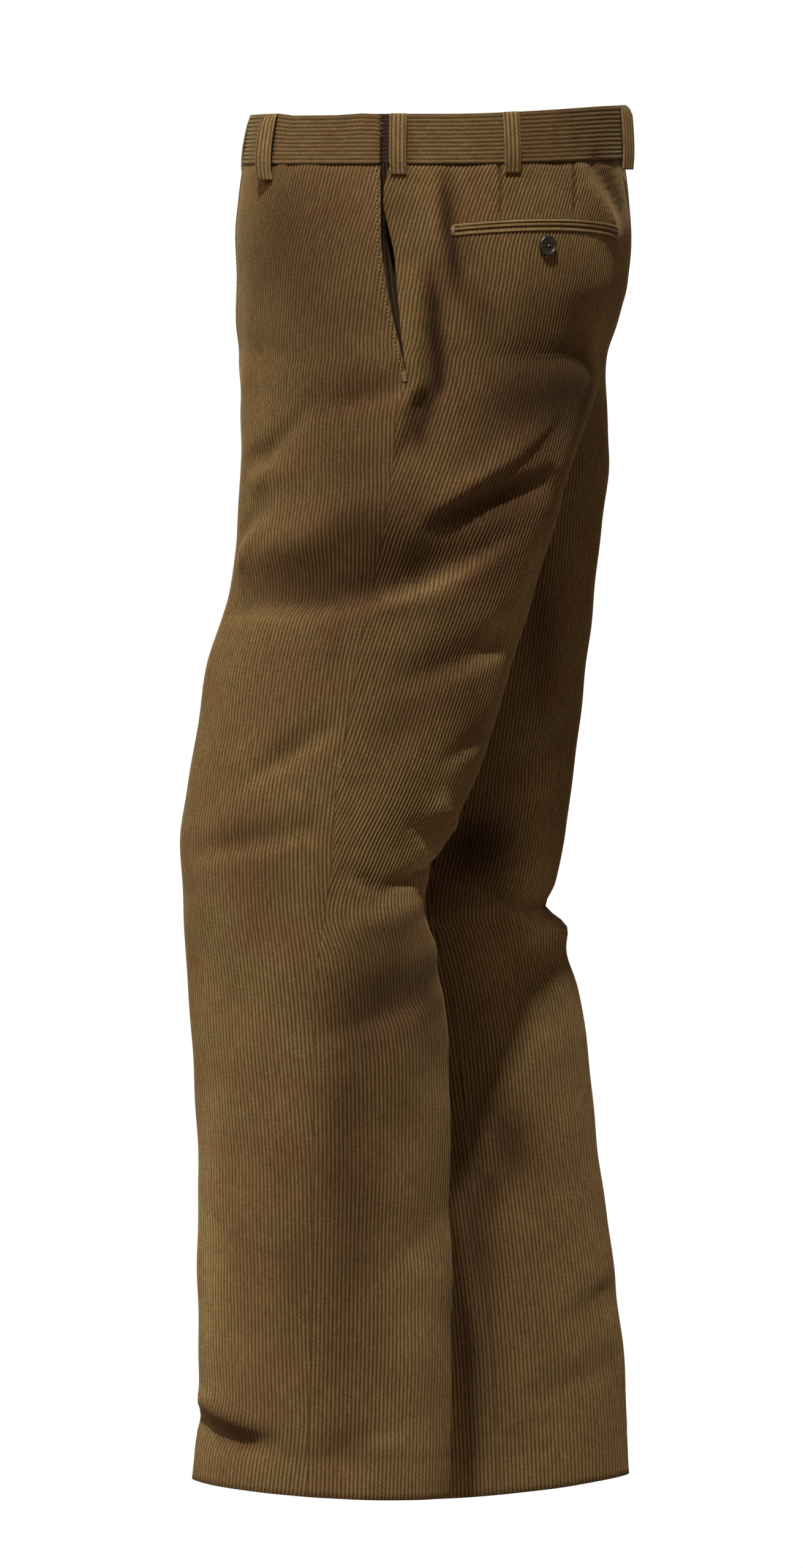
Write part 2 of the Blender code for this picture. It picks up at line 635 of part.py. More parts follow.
for old in list(bpy.data.objects):
    bpy.data.objects.remove(old)
parts = bpy.data.collections.new("corduroy_trousers")
cutters = bpy.data.collections.new("cutters")
for group in (parts, cutters):
    bpy.context.scene.collection.children.link(group)

front_cloth = material("corduroy_fronts", (0.133, 0.082, 0.036), 0.9)
back_cloth = material("corduroy_backs", (0.110, 0.066, 0.029), 0.9)
band_cloth = material("corduroy_waistband", (0.120, 0.073, 0.030), 0.9)
loop_cloth = material("corduroy_belt_loops", (0.125, 0.078, 0.033), 0.9)
pocket_cloth = material("corduroy_pockets", (0.095, 0.056, 0.025), 0.9)
lining_cloth = material("cotton_fly_facing", (0.090, 0.060, 0.035), 0.85)
horn = material("dark_horn_buttons", (0.032, 0.024, 0.020), 0.35)

for leg in LEGS:
    panel(leg, FRONT, front_cloth)
    panel(leg, BACK, back_cloth)
    front_band(leg, band_cloth)
    side_pocket_facing(leg, pocket_cloth)
    back_pocket_jet("back_pocket_upper_jet", leg, UPPER_JET, pocket_cloth)
    back_pocket_jet("back_pocket_lower_jet", leg, LOWER_JET, pocket_cloth)
    pocket_button(leg, horn)
back_band(band_cloth)
fly_facing(lining_cloth)
for loop_name, loop_leg, s_top, s_bottom, stand_off in LOOP_PLACES:
    belt_loop(loop_name, loop_leg, s_top, s_bottom, stand_off, loop_cloth)
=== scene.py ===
from functools import lru_cache
from types import SimpleNamespace

import bmesh
import bpy
import numpy as np
from mathutils import Matrix, Vector


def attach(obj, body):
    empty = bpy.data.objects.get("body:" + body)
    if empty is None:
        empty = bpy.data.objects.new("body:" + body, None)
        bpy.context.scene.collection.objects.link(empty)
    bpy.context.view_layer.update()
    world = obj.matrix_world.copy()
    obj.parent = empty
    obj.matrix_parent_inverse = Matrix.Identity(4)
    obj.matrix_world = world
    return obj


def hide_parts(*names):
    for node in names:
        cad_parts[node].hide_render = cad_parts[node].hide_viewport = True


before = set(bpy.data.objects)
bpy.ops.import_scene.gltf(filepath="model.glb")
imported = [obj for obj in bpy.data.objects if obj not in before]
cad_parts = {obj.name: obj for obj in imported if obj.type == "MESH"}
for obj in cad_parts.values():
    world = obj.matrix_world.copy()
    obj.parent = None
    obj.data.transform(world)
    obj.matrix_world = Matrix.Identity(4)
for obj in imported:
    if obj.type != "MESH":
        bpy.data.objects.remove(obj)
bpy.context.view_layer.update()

# ----------------------------------------------------------
# Studio: the trousers are held up at the waist over a pale floor, in front of a white
# background. A hard-edged key lamp stands high beside the viewer and a wide soft one to the left.
FLOOR_Z = -1.40
FLOOR_RADIUS = 1.6
LAMP_AWAY = 4
VIEWER_AWAY = 7.0
VIEWER_TURN = 4.0
VIEWER_ASIDE = -0.0274
VIEWER_Z = -0.030
VIEWER_SLOPE = -0.06723
LENS = 206.8


def linear(code):
    """An sRGB hex colour as the linear colour that shaders use."""
    channels = np.array([int(code[i:i + 2], 16) / 255 for i in (1, 3, 5)])
    dark, light = channels / 12.92, ((channels + 0.055) / 1.055) ** 2.4
    return (*np.where(channels <= 0.04045, dark, light).tolist(), 1.0)


def add(tree, kind, inputs=None, **settings):
    """Add a node. An input is given a number, a colour, a socket or a node for its first socket."""
    made = tree.nodes.new(f"ShaderNode{kind}")
    for name, value in settings.items():
        setattr(made, name, value)
    for name, value in (inputs or {}).items():
        if isinstance(value, bpy.types.Node):
            value = value.outputs[0]
        if isinstance(value, bpy.types.NodeSocket):
            tree.links.new(value, made.inputs[name])
        else:
            made.inputs[name].default_value = value
    return made


def new_material(name):
    made = bpy.data.materials.new(name)
    made.use_nodes = True
    made.node_tree.nodes.clear()
    return made, made.node_tree


def finish_material(tree, shader):
    add(tree, "OutputMaterial", {"Surface": shader})


def placed(name, data):
    """A new object in the scene."""
    made = bpy.data.objects.new(name, data)
    bpy.context.scene.collection.objects.link(made)
    return made


def from_bmesh(name, shape, materials):
    """A new smooth object from a finished bmesh."""
    mesh = bpy.data.meshes.new(name)
    shape.to_mesh(mesh)
    shape.free()
    for finish in materials:
        mesh.materials.append(finish)
    mesh.shade_smooth()
    return placed(name, mesh)


# Matt floor paint, with a faint unevenness every few centimetres.
painted_floor, tree = new_material("painted_floor")
speckle = add(tree, "TexNoise", {"Scale": 40.0, "Detail": 4.0})
tint = add(tree, "Mix", {0: speckle.outputs["Fac"], 6: linear("#d9d6d0"), 7: linear("#dedbd5")},
           data_type="RGBA")
finish_material(tree, add(tree, "BsdfPrincipled", {
    "Base Color": tint.outputs[2], "Roughness": 0.8}))
disc = bmesh.new()
bmesh.ops.create_circle(disc, cap_ends=True, segments=96, radius=FLOOR_RADIUS,
                        matrix=Matrix.Translation((0, 0, FLOOR_Z)))
floor = from_bmesh("floor", disc, (painted_floor,))
floor.visible_diffuse = False

world = bpy.data.worlds.new("studio")
bpy.context.scene.world = world
world.use_nodes = True
tree = world.node_tree
tree.nodes.clear()
ray = add(tree, "LightPath")
seen = add(tree, "Background", {"Color": linear("#ffffff"), "Strength": 1.0})
fill = add(tree, "Background", {"Color": linear("#ffe9dc"), "Strength": 0.26})
sky = add(tree, "MixShader", {0: ray.outputs["Is Camera Ray"], 1: fill, 2: seen})
add(tree, "OutputWorld", {"Surface": sky})


def lamp(name, turn, height, strength, spread, colour):
    """A far lamp. turn is degrees from the wearer's left side towards the front."""
    light = bpy.data.lights.new(name, "SUN")
    light.energy = strength
    light.angle = np.radians(spread)
    light.color = colour
    turn, height = np.radians(turn), np.radians(height)
    level = np.cos(height)
    towards = Vector((level * np.cos(turn), -level * np.sin(turn), np.sin(height)))
    made = placed(name, light)
    made.rotation_euler = towards.to_track_quat("Z", "Y").to_euler()
    made.location = towards * LAMP_AWAY


lamp("key", 5, 61, 4.15, 2.6, (0.98, 1.0, 0.94))
lamp("left_soft", 58, 30, 1.35, 35.0, (1.0, 0.99, 0.93))

# The viewer stands 7 m off, square to the wearer's left side, 4 degrees round to the back.
camera = bpy.data.cameras.new("camera")
camera.sensor_fit = "VERTICAL"
camera.sensor_height = 36.0
camera.lens = LENS
camera.clip_end = 100.0
viewer = placed("camera", camera)
around = np.radians(VIEWER_TURN)
beside = Vector((-np.sin(around), np.cos(around), 0.0))
ahead = Vector((-np.cos(around), -np.sin(around), 0.0))
viewer.location = Vector((0.0, 0.0, VIEWER_Z)) - VIEWER_AWAY * ahead + VIEWER_ASIDE * beside
aim = (ahead + Vector((0.0, 0.0, VIEWER_SLOPE))).normalized()
viewer.rotation_euler = aim.to_track_quat("-Z", "Y").to_euler()
bpy.context.scene.camera = viewer
bpy.context.scene.view_settings.view_transform = "Standard"

# ----------------------------------------------------------
# Front and back panels: heavy cotton corduroy with wide wales that run along each leg, parallel
# to its pressed crease. Each panel is cut from one piece, sewn at the side seam, the inseam and
# the middle, and turned up inside at the hem. Its colour carries painted light on the folds' ridges
# and painted shade in their hollows.
MM = 0.001
WALL = 0.0018
SEAM = 0.00003
SEAM_ROLL = 0.00007
CENTRE_GAP = -0.0003
FORK_TOP = -0.165
CROTCH = -0.250
EDGE_MATCH_FADE = 0.090
BAND_TOP = 0.019
WAIST_SEAM = -0.019
BACK_RISE = 0.0075
BACK_RISE_START = 0.020
BACK_RISE_RUN = 0.125
BACK_RISE_POWER = 1.7
BACK_RISE_AT_SEAM = 0.55
BACK_RISE_FADE = 0.100
HEM_DROP_START = -0.700
HEM_TURN_UP = 0.038
HEM_ROLL = ((0.0005, -0.0006), (0.0006, -0.0014))
HEM_ROLL_RELIEF = 0.5
TURN_UP_ROWS = 8
TURN_UP_LAYER = -0.0022
TURN_UP_RELIEF = -0.4
PRESSED = -0.0001
FRONT, BACK = -1, 1
COLUMN = {FRONT: 1, BACK: 2}
OTHER = {"left": "right", "right": "left"}
WALE = 0.003175
RIB_DEPTH = 0.0009
RIB = (
    # share of the wale's width, share of its depth
    (0.0, -1.0), (0.22, -0.48), (0.5, 0.0), (0.78, -0.48),
)
RIB_LIFT = 0.0003
ROW_STEP = 0.0055
ROW_SAMPLES = 240
INSIDE_COLUMNS = 44
SPARE_COLUMNS = {FRONT: 0.024, BACK: 0.036}
SPARE_AT_EDGE = 0.004
CALM_AT_SEAMS = 0.02
MERGE = 1e-6

LEFT_SECTIONS = (
    # z, front, back, out, inn, seam in millimetres, then the shape's square and point
    (19, -142.5, 143, 151.5, 0, -33, 2.5, 0.43),
    (-19, -148.5, 145, 155, 0, -33, 2.5, 0.43),
    (-45, -152, 148, 159, 0, -32, 2.5, 0.43),
    (-75, -154.5, 150, 163.5, 0, -31, 2.45, 0.43),
    (-110, -154, 148, 166.8, 0, -27, 2.35, 0.44),
    (-140, -154, 140, 168.2, 0, -21, 2.25, 0.46),
    (-165, -153, 132, 168.4, 0, -15, 2.2, 0.48),
    (-186, -150, 127, 168, 0, -11.5, 2.15, 0.49),
    (-201, -147, 123, 167.4, 0, -18, 2.1, 0.5),
    (-250, -146, 109, 165.5, 0, -23, 2.05, 0.52),
    (-300, -148, 95, 164.5, 6, -30, 2, 0.54),
    (-345, -154, 81, 164, 11, -40, 2, 0.57),
    (-400, -169.5, 64, 163.5, 16, -50, 2, 0.6),
    (-450, -178, 50, 161.5, 20, -58, 2, 0.63),
    (-500, -187, 32, 159, 23, -67, 2, 0.65),
    (-545, -191.5, 10, 157.5, 26, -69, 2, 0.65),
    (-590, -190, -4.5, 156.5, 29, -75, 2, 0.66),
    (-625, -187, 6.5, 156, 31, -80, 2, 0.67),
    (-680, -183.7, 13.5, 156, 34, -83, 2, 0.68),
    (-800, -178, 18, 155, 40, -85, 2, 0.7),
    (-920, -178, 18, 153, 45, -86, 2, 0.7),
    (-975, -177, 17.5, 152, 47, -88, 2, 0.7),
    (-1039, -184, 17, 151, 49, -89, 2, 0.7),
)
RIGHT_SECTIONS = LEFT_SECTIONS[:7] + (
    (-186, -149, 130, 172, 0, -11.5, 2.15, 0.49),
    (-201, -147, 129.5, 172, 0, -16, 2.1, 0.5),
    (-250, -140, 130, 170, 0, -10, 2.05, 0.52),
    (-300, -128, 124, 167, 6, -7, 2, 0.54),
    (-345, -120, 119, 165, 11, -4, 2, 0.57),
    (-400, -112, 113, 163, 16, 3, 2, 0.6),
    (-450, -107, 107.5, 161, 20, 6, 2, 0.63),
    (-500, -103, 102, 159, 23, 10, 2, 0.65),
    (-545, -101, 96, 157.5, 26, 12, 2, 0.65),
    (-590, -99, 88, 156.5, 29, 11, 2, 0.66),
    (-606, -98, 87, 156, 30, 11, 2, 0.66),
    (-622, -96, 93, 156, 31, 12, 2, 0.67),
    (-680, -87, 108, 156, 34, 14, 2, 0.68),
    (-800, -73, 122, 155, 40, 21, 2, 0.7),
    (-920, -60, 137, 154, 45, 33, 2, 0.7),
    (-975, -57, 142, 153, 47, 36, 2, 0.7),
    (-1065, -55, 147, 152, 50, 40, 2, 0.7),
)
CREASES = (
    # z, front, back, in millimetres
    (19, 78, 62), (-100, 82, 70), (-200, 86, 82), (-250, 86, 86),
)
SECTION_UNITS = (MM,) * 6 + (1, 1)
LEGS = {
    "left": {"side": 1, "sections": np.array(LEFT_SECTIONS) * SECTION_UNITS,
             "hem_drop": -0.006, "wave": 0.0},
    "right": {"side": -1, "sections": np.array(RIGHT_SECTIONS) * SECTION_UNITS,
              "hem_drop": 0.0105, "wave": 2.1},
}

# Folds, in millimetres: how far the fold reaches above and below its line, then the line's points
# (s, z, height), with s from the side seam or the inseam, negative towards the front. A height
# below 0 is a trough. Lines run from front to back, or from top to bottom.
FOLDS = {"left": {"side": (
    # left hip, beside the pocket and under the band
    (8, 12, (40, -24, 1.5), (42, -50, 3.5), (45, -80, 4), (53, -106, 1.5)),
    (9, 8, (50, -28, -2), (53, -48, -5), (55, -72, -6), (61, -92, -4.5), (67, -108, -1)),
    (7, 10, (19, -108, 1.5), (12, -148, 4.5), (5, -190, 5), (3, -226, 2)),
    (9, 7, (35, -104, -2), (32, -128, -6), (27, -154, -7), (21, -188, -6), (16, -220, -4),
     (4, -245, -1.5)),
    (16, 7, (-64, -204, -1), (-30, -198, -3), (-4, -190, -2.5)),
    (7, 16, (158, -26, 1), (182, -46, 3.5), (206, -62, 3.5), (220, -74, 1)),
    (9, 9, (186, -24, -2.5), (212, -42, -3.5), (232, -58, -2)),
    # left seat and the long drag fold round the thigh
    (13, 4, (28, -290, 0), (38, -281, 3), (62, -263, 6), (93, -243, 4), (132, -211, 1)),
    (5, 12, (40, -289, -3), (52, -284, -7), (91, -269, -8), (125, -256, -4), (140, -250, 0)),
    (18, 20, (-112, -316, 4), (-60, -298, 6), (-20, -284, 7), (20, -292, 5), (40, -286, 2)),
    (32, 6.5, (-112, -357, -8), (-75, -354, -12), (-35, -352, -13), (0, -347, -14), (40, -335, -13),
     (66, -322, -10), (82, -314, -6), (100, -300, -1)),
    # front of the crotch and the top of the left thigh
    (7, 10, (-132, -268, 0), (-112, -258, 5), (-84, -250, 1)),
    (10, 6, (-132, -247, -4), (-110, -240, -6.5), (-84, -218, -3), (-66, -196, -1)),
    (6, 9, (-126, -318, 2.5), (-114, -304, 2.5), (-100, -292, 0)),
    (8, 6, (-128, -300, -2.5), (-110, -286, -2.5), (-94, -276, 0)),
    # left thigh
    (20, 8, (44, -409, -2), (80, -398, -5.5), (116, -386, -5)),
    (9, 6, (88, -472, -1), (118, -456, -3)),
    (14, 7, (-80, -495, -1.5), (-50, -474, -4.2), (-16, -450, -2.5)),
    # left knee
    (13, 5, (-117, -546, -3), (-80, -541, -5), (-22, -527, -2.5)),
    (10, 8, (88, -512, 3), (112, -528, 4)),
    (6, 5, (64, -523, -1), (84, -536, -3), (106, -552, -1)),
    (5, 4, (10, -556, -1), (26, -565, -2.2), (40, -572, -1)),
    (7, 4, (50, -571, -2), (80, -564, -6), (102, -559, -6), (120, -556, -1)),
    (10, 15, (30, -598, 3), (64, -592, 4.5), (92, -586, 2.5), (112, -582, 0)),
    (36, 9, (10, -680, -3), (50, -670, -9), (84, -658, -9), (108, -645, -5), (124, -636, 0)),
    (14, 26, (34, -712, 2), (100, -690, 3)),
    # left calf and hem
    (40, 14, (40, -870, -1.5), (80, -846, -4), (114, -826, -3.5)),
    (14, 14, (24, -905, -1), (22, -950, -2.2), (26, -1000, -2)),
    (14, 9, (16, -1003, -1), (45, -992, -2.4), (70, -982, -1)),
    (10, 5, (-100, -978, 3.5), (-84, -983, 4.5), (-52, -989, 3.5), (-26, -991, 0.5)),
    (6, 8, (-104, -991, -4), (-78, -999, -7), (-50, -1002, -5.5), (-30, -998, -1.5)),
), "inseam": (
    # inside of the left leg
    (20, 14, (-62, -348, -3), (0, -336, -5.5), (80, -302, -5)),
    (8, 7, (-78, -262, -2), (-46, -270, -4), (-12, -262, -3)),
    (10, 6, (28, -574, -3), (66, -567, -4), (100, -560, 0)),
    (12, 14, (20, -597, 2.5), (60, -594, 3), (96, -590, 0)),
    (26, 12, (8, -652, -2), (55, -646, -4), (96, -632, 0)),
    (12, 7, (-70, -540, -2.5), (-30, -530, -3)),
    (7, 8, (-60, -1002, -4), (-84, -998, -4.5)),
    (34, 14, (30, -880, -1.5), (90, -846, -3)),
)}, "right": {"side": (
    # right hip, seat and thigh: the same strains, less drawn out because this leg stands back
    (9, 9, (44, -24, 1), (46, -64, 2.2), (44, -104, 1)),
    (10, 5, (51, -22, -2.5), (55, -66, -4.5), (58, -102, -2)),
    (8, 8, (24, -122, 2), (18, -170, 3), (12, -212, 1)),
    (12, 6, (31, -126, -3), (24, -176, -6), (17, -232, -3)),
    (16, 10, (120, -212, 3.5), (80, -246, 5), (40, -276, 2)),
    (12, 18, (118, -240, -4), (78, -272, -6), (35, -298, -3)),
    (20, 10, (-118, -330, -3), (-60, -322, -5), (0, -316, -5.5), (62, -302, -4)),
    (9, 9, (-126, -262, 3), (-92, -240, 3.5), (-66, -214, 1)),
    (8, 7, (-130, -244, -3), (-96, -222, -4), (-76, -204, -1)),
    # right knee and calf
    (11, 6, (38, -606, -3), (70, -604, -6), (106, -602, -6.5)),
    (7, 14, (44, -624, 3), (74, -622, 5), (106, -618, 5.5)),
    (24, 12, (28, -674, -2), (66, -664, -4.5), (100, -650, -5)),
    (13, 7, (-70, -560, -1.5), (-24, -548, -3)),
    (34, 14, (30, -900, -1.5), (92, -866, -3.5)),
), "inseam": (
    # inside of the right leg
    (8, 8, (-80, -264, -2), (-44, -268, -4.5), (-12, -260, -3)),
    (16, 9, (46, -500, -2), (110, -472, -4)),
    (10, 4, (26, -568, -1), (44, -586, -5), (70, -599, -6.5), (106, -606, -6.5)),
    (4, 14, (46, -598, 1.5), (74, -611, 5), (106, -618, 6)),
    (24, 12, (8, -684, -2), (50, -670, -4), (92, -650, -5)),
    (8, 16, (62, -932, -1), (100, -914, -3.2)),
    (16, 10, (30, -990, -1.5), (100, -974, -2.4)),
)}}
GRAIN = (
    # z, how far the front and the back panel's wales have moved to the back there, in millimetres
    (-19, 18, 34), (-42, 17, 20), (-66, 12.8, 9.5), (-90, 6.8, 4), (-114, 1.7, 4.5), (-137, -3, 11),
    (-161, -7, 18), (-185, -6.8, 15.5), (-209, -6.2, 11.5), (-233, -3.5, 8), (-256, -1.5, 4.8),
    (-280, -1, 2.5), (-304, 0, 0),
)
# Patches of painted light and shade laid over the cloth's colour: s and z in millimetres as above,
# how far the patch reaches along s and z, and how much lighter or darker its middle is.
PAINTED_LIGHT_AND_SHADE = {"left": {"side": (
    (40, -110, 190, 130, -0.14), (-78, -140, 58, 120, -0.22), (-92, -60, 30, 50, -0.24),
    (-14, -164, 26, 20, 0.22), (49, -56, 7, 20, -0.4), (54, -90, 7, 18, -0.44),
    (34, -124, 7, 18, -0.48), (29, -154, 8, 22, -0.55), (23, -190, 8, 24, -0.52),
    (18, -222, 8, 16, -0.42), (48, -40, 4, 18, -0.42), (50, -64, 4, 18, -0.5),
    (53, -87, 4, 17, -0.5), (34, -118, 4, 14, -0.42), (31, -139, 4, 15, -0.5),
    (27, -161, 4.5, 15, -0.52), (25, -183, 4.5, 15, -0.52), (22, -205, 4.5, 14, -0.5),
    (18, -226, 4.5, 12, -0.45), (118, -196, 54, 42, -0.56), (160, -186, 30, 30, -0.45),
    (66, -244, 26, 13, -0.34), (-8, -284, 54, 20, -0.5), (90, -282, 38, 22, -0.5),
    (4, -356, 76, 10, -0.36), (128, -396, 26, 36, 0.35), (44, -440, 30, 26, -0.26),
    (92, -474, 44, 50, 0.38), (84, -550, 36, 26, 0.3), (66, -642, 54, 22, -0.48),
    (36, -682, 34, 34, -0.44), (92, -672, 34, 24, -0.42), (30, -830, 30, 170, -0.4),
    (-8, -870, 40, 130, -0.16), (84, -880, 24, 110, 0.15), (60, -1012, 44, 24, 0.36),
    (-98, -850, 20, 150, 0.55), (-82, -984, 34, 12, -0.52), (-60, -70, 56, 64, -0.22),
    (-64, -176, 46, 44, -0.18), (-30, -280, 40, 80, -0.3), (14, -272, 34, 26, -0.22),
    (0, -394, 80, 30, -0.2), (72, -402, 34, 14, -0.38), (98, -330, 24, 24, -0.45),
    (30, -446, 26, 14, -0.24), (104, -452, 16, 30, -0.3), (-52, -556, 30, 34, -0.26),
    (70, -550, 30, 20, 0.35), (66, -604, 40, 16, -0.48), (72, -690, 40, 34, -0.32),
    (60, -742, 36, 30, -0.24), (22, -760, 16, 60, -0.3), (-14, -862, 18, 44, -0.24),
    (-66, -992, 20, 8, -0.4), (-50, -999, 32, 8, -0.36), (36, -1004, 34, 12, -0.3),
    (52, -100, 12, 24, -0.42), (68, -130, 12, 22, -0.4), (14, -52, 14, 16, -0.26),
    (192, -150, 26, 30, 0.6), (116, -196, 60, 28, -0.52), (106, -372, 20, 22, 0.6),
    (134, -330, 16, 36, 0.7), (92, -562, 18, 22, 0.4), (102, -652, 15, 32, -0.48),
    (178, -78, 24, 14, 0.45),
), "inseam": ()}, "right": {"side": (
    (40, -110, 190, 130, -0.14), (-78, -140, 58, 120, -0.26), (118, -196, 54, 42, -0.45),
    (-8, -288, 54, 22, -0.35),
), "inseam": (
    (84, -375, 16, 60, -0.45), (40, -558, 36, 28, -0.4), (0, -585, 14, 30, -0.45),
    (22, -552, 18, 26, -0.62), (42, -548, 18, 24, -0.55), (88, -604, 24, 44, 1.3),
    (40, -652, 26, 54, 0.8), (-16, -740, 11, 60, -0.5), (32, -780, 22, 36, -0.66),
    (12, -820, 13, 26, -0.5), (-4, -860, 17, 70, -0.66), (84, -505, 20, 44, 0.5),
    (-12, -975, 20, 70, -0.45),
)}}
DARTS = (
    # s at the top, s at the foot, top, foot
    (0.0918, 0.0911, -0.020, -0.0635),
    (0.1566, 0.1557, -0.020, -0.0645),
)
DART_MARK = (-0.0020, 0.0013)
DART_FADE = 0.012
WAIST_MARK = (-0.0009, 0.0030)
BLIND_HEM = 0.031
BLIND_HEM_MARK = (-0.0004, 0.0028)
MARK_SHADE = 300
PAINTED_LIGHT_ON_RIDGES = 0.020
PAINTED_SHADE_IN_HOLLOWS = 0.040
PAINTED_SHADING_LIMITS = (0.16, 2.2)
FLY_WIDTH = 0.038
FLY_BOTTOM = -0.160
FLY_LAP = 0.0008
FLY_LAP_RISE = 0.003
FLY_LAP_FADE = 0.02
MOUTH_TOP = -0.0195
MOUTH_BOTTOM = -0.179
MOUTH_EDGES = {FRONT: (0.0040, 0.014), BACK: (-0.0030, 0.016)}
MOUTH_GAPS = (
    # z, how far the back panel's edge stands back from the front's, in millimetres
    (-19, 8), (-30, 4.2), (-40, 1.8), (-49, 1.2), (-60, 3), (-70, 5.2), (-88, 8), (-112, 7.2),
    (-136, 4.5), (-156, 2.1), (-171, 0.5), (-179, 0),
)


def flowing(table, column, z):
    """Read one column of a table at the heights z, on a smooth curve that never overshoots."""
    rows = np.array(table)[::-1]
    level, value = rows[:, 0], rows[:, column]
    step = np.diff(level)
    rise = np.diff(value) / step
    slope = np.zeros(len(level))
    same_way = rise[1:] * rise[:-1] > 0
    pair = np.where(same_way, rise[1:] + rise[:-1], 1.0)
    slope[1:-1] = np.where(same_way, 2 * rise[1:] * rise[:-1] / pair, 0.0)
    slope[0], slope[-1] = rise[0], rise[-1]
    z = np.clip(z, level[0], level[-1])
    i = np.clip(np.searchsorted(level, z) - 1, 0, len(step) - 1)
    t = (z - level[i]) / step[i]
    return (
        value[i] * (1 + 2 * t) * (1 - t) ** 2
        + slope[i] * step[i] * t * (1 - t) ** 2
        + value[i + 1] * t * t * (3 - 2 * t)
        + slope[i + 1] * step[i] * t * t * (t - 1)
    )


def ramp(value, start, end):
    """0 at start, 1 at end, eased at both."""
    t = np.clip((value - start) / (end - start), 0.0, 1.0)
    return t * t * (3 - 2 * t)


def soft_ridge(distance, height, reach):
    """Height of a rounded ridge, or of a groove below 0, at a distance from its line."""
    return height * np.exp(-((distance / reach) ** 2))


def section(leg, z):
    """The outline of one leg's half at the height z: its middle, half sizes and shape."""
    front, back, out, inn, seam, square, point = (
        flowing(LEGS[leg]["sections"], column, z) for column in range(1, 8)
    )
    if z > CROTCH:
        parted = np.clip((FORK_TOP - z) / (FORK_TOP - CROTCH), 0.0, 1.0)
        inn = -out * (1 - parted) / (1 + parted)
    return SimpleNamespace(x=(out + inn) / 2, y=(front + back) / 2, wide=(out - inn) / 2,
                           deep=(back - front) / 2, seam=seam, square=square, point=point)


def hem_level(leg):
    return LEGS[leg]["sections"][-1][0]


def outline(cut, turn):
    """Points of a section at the angles turn: 0 at the side, -pi/2 at the front crease."""
    sine = np.sin(turn)
    body = np.clip(1 - np.abs(sine) ** cut.square, 0.0, 1.0) ** cut.point
    return cut.x + cut.wide * np.sign(np.cos(turn)) * body, cut.y + cut.deep * sine


def turn_at(cut, offset):
    """The angle, up to pi/2, at which the outline is offset from the middle of its width."""
    share = np.clip(offset / cut.wide, 0.0, 1.0) ** (1 / cut.point)
    return np.arcsin((1 - share) ** (1 / cut.square))


@lru_cache(maxsize=None)
def row(leg, face, z):
    """One level of a panel, from the side seam to its edge at the middle or the inseam."""
    cut = section(leg, z)
    seam = np.arcsin(np.clip((cut.seam - cut.y) / cut.deep, -1, 1))
    crease = face * turn_at(cut, flowing(CREASES, COLUMN[face], z / MM) * MM - cut.x)
    edge = face * (np.pi - turn_at(cut, cut.x))
    turns = np.concatenate((np.linspace(seam, crease, ROW_SAMPLES),
                            np.linspace(crease, edge, ROW_SAMPLES)[1:]))
    x, y = outline(cut, turns)
    along = np.concatenate(([0.0], np.cumsum(np.hypot(np.diff(x), np.diff(y)))))
    return SimpleNamespace(cut=cut, turns=turns, along=along, to_crease=along[ROW_SAMPLES - 1],
                           whole=along[-1], edge_y=y[-1])


def outward(cut, turn):
    """Unit normals of the outline, in plan."""
    step = 1e-3
    x0, y0 = outline(cut, turn - step)
    x1, y1 = outline(cut, turn + step)
    size = np.hypot(x1 - x0, y1 - y0)
    return (y1 - y0) / size, (x0 - x1) / size


def by_seam(tables, face, level, along):
    """The tables of the side seam and of the inseam, each with the distances from that seam."""
    return (tables["side"], face * along), (tables["inseam"], face * (level.whole - along))


def one_fold(s, z, line, above, below):
    """Height of one fold at the places s of the level z."""
    best, nearest = np.full_like(s, np.inf), np.zeros_like(s)
    for (s0, z0, h0), (s1, z1, h1) in zip(line, line[1:]):
        run, drop = s1 - s0, z1 - z0
        t = np.clip(((s - s0) * run + (z - z0) * drop) / (run ** 2 + drop ** 2), 0, 1)
        gap_s, gap_z = s - s0 - t * run, z - z0 - t * drop
        gap = np.hypot(gap_s, gap_z)
        upper = (run * gap_z - drop * gap_s) / np.hypot(run, drop) / np.maximum(gap, 1e-9)
        reach = (below + (above - below) * (0.5 + 0.5 * upper)) * MM
        nearest = np.where(gap < best, soft_ridge(gap, h0 + (h1 - h0) * t, reach), nearest)
        best = np.minimum(best, gap)
    return nearest


def fold_height(leg, face, level, along, z):
    """How far the folds move the cloth out, at distances along one level."""
    moved = np.zeros_like(along)
    for folds, s in by_seam(FOLDS[leg], face, level, along):
        for above, below, *line in folds:
            heights = [point[1] for point in line]
            if min(heights) - 3 * below < z / MM < max(heights) + 3 * above:
                moved += one_fold(s, z, np.array(line) * MM, above, below)
    return moved


def unevenness(leg, face, along, z):
    """Worn cloth is never quite smooth: slow shallow waves, different on every panel."""
    turn = LEGS[leg]["wave"] + (0.0 if face == FRONT else 1.3)
    s = along * face
    waves = (0.00055 * np.sin(62 * s + 19 * z + turn) * np.sin(41 * z + 2 * turn)
             + 0.00035 * np.sin(118 * s - 47 * z + 3 * turn)
             + 0.00030 * np.sin(23 * s + 96 * z + turn))
    return waves * ramp(-z, 0.03, 0.12)


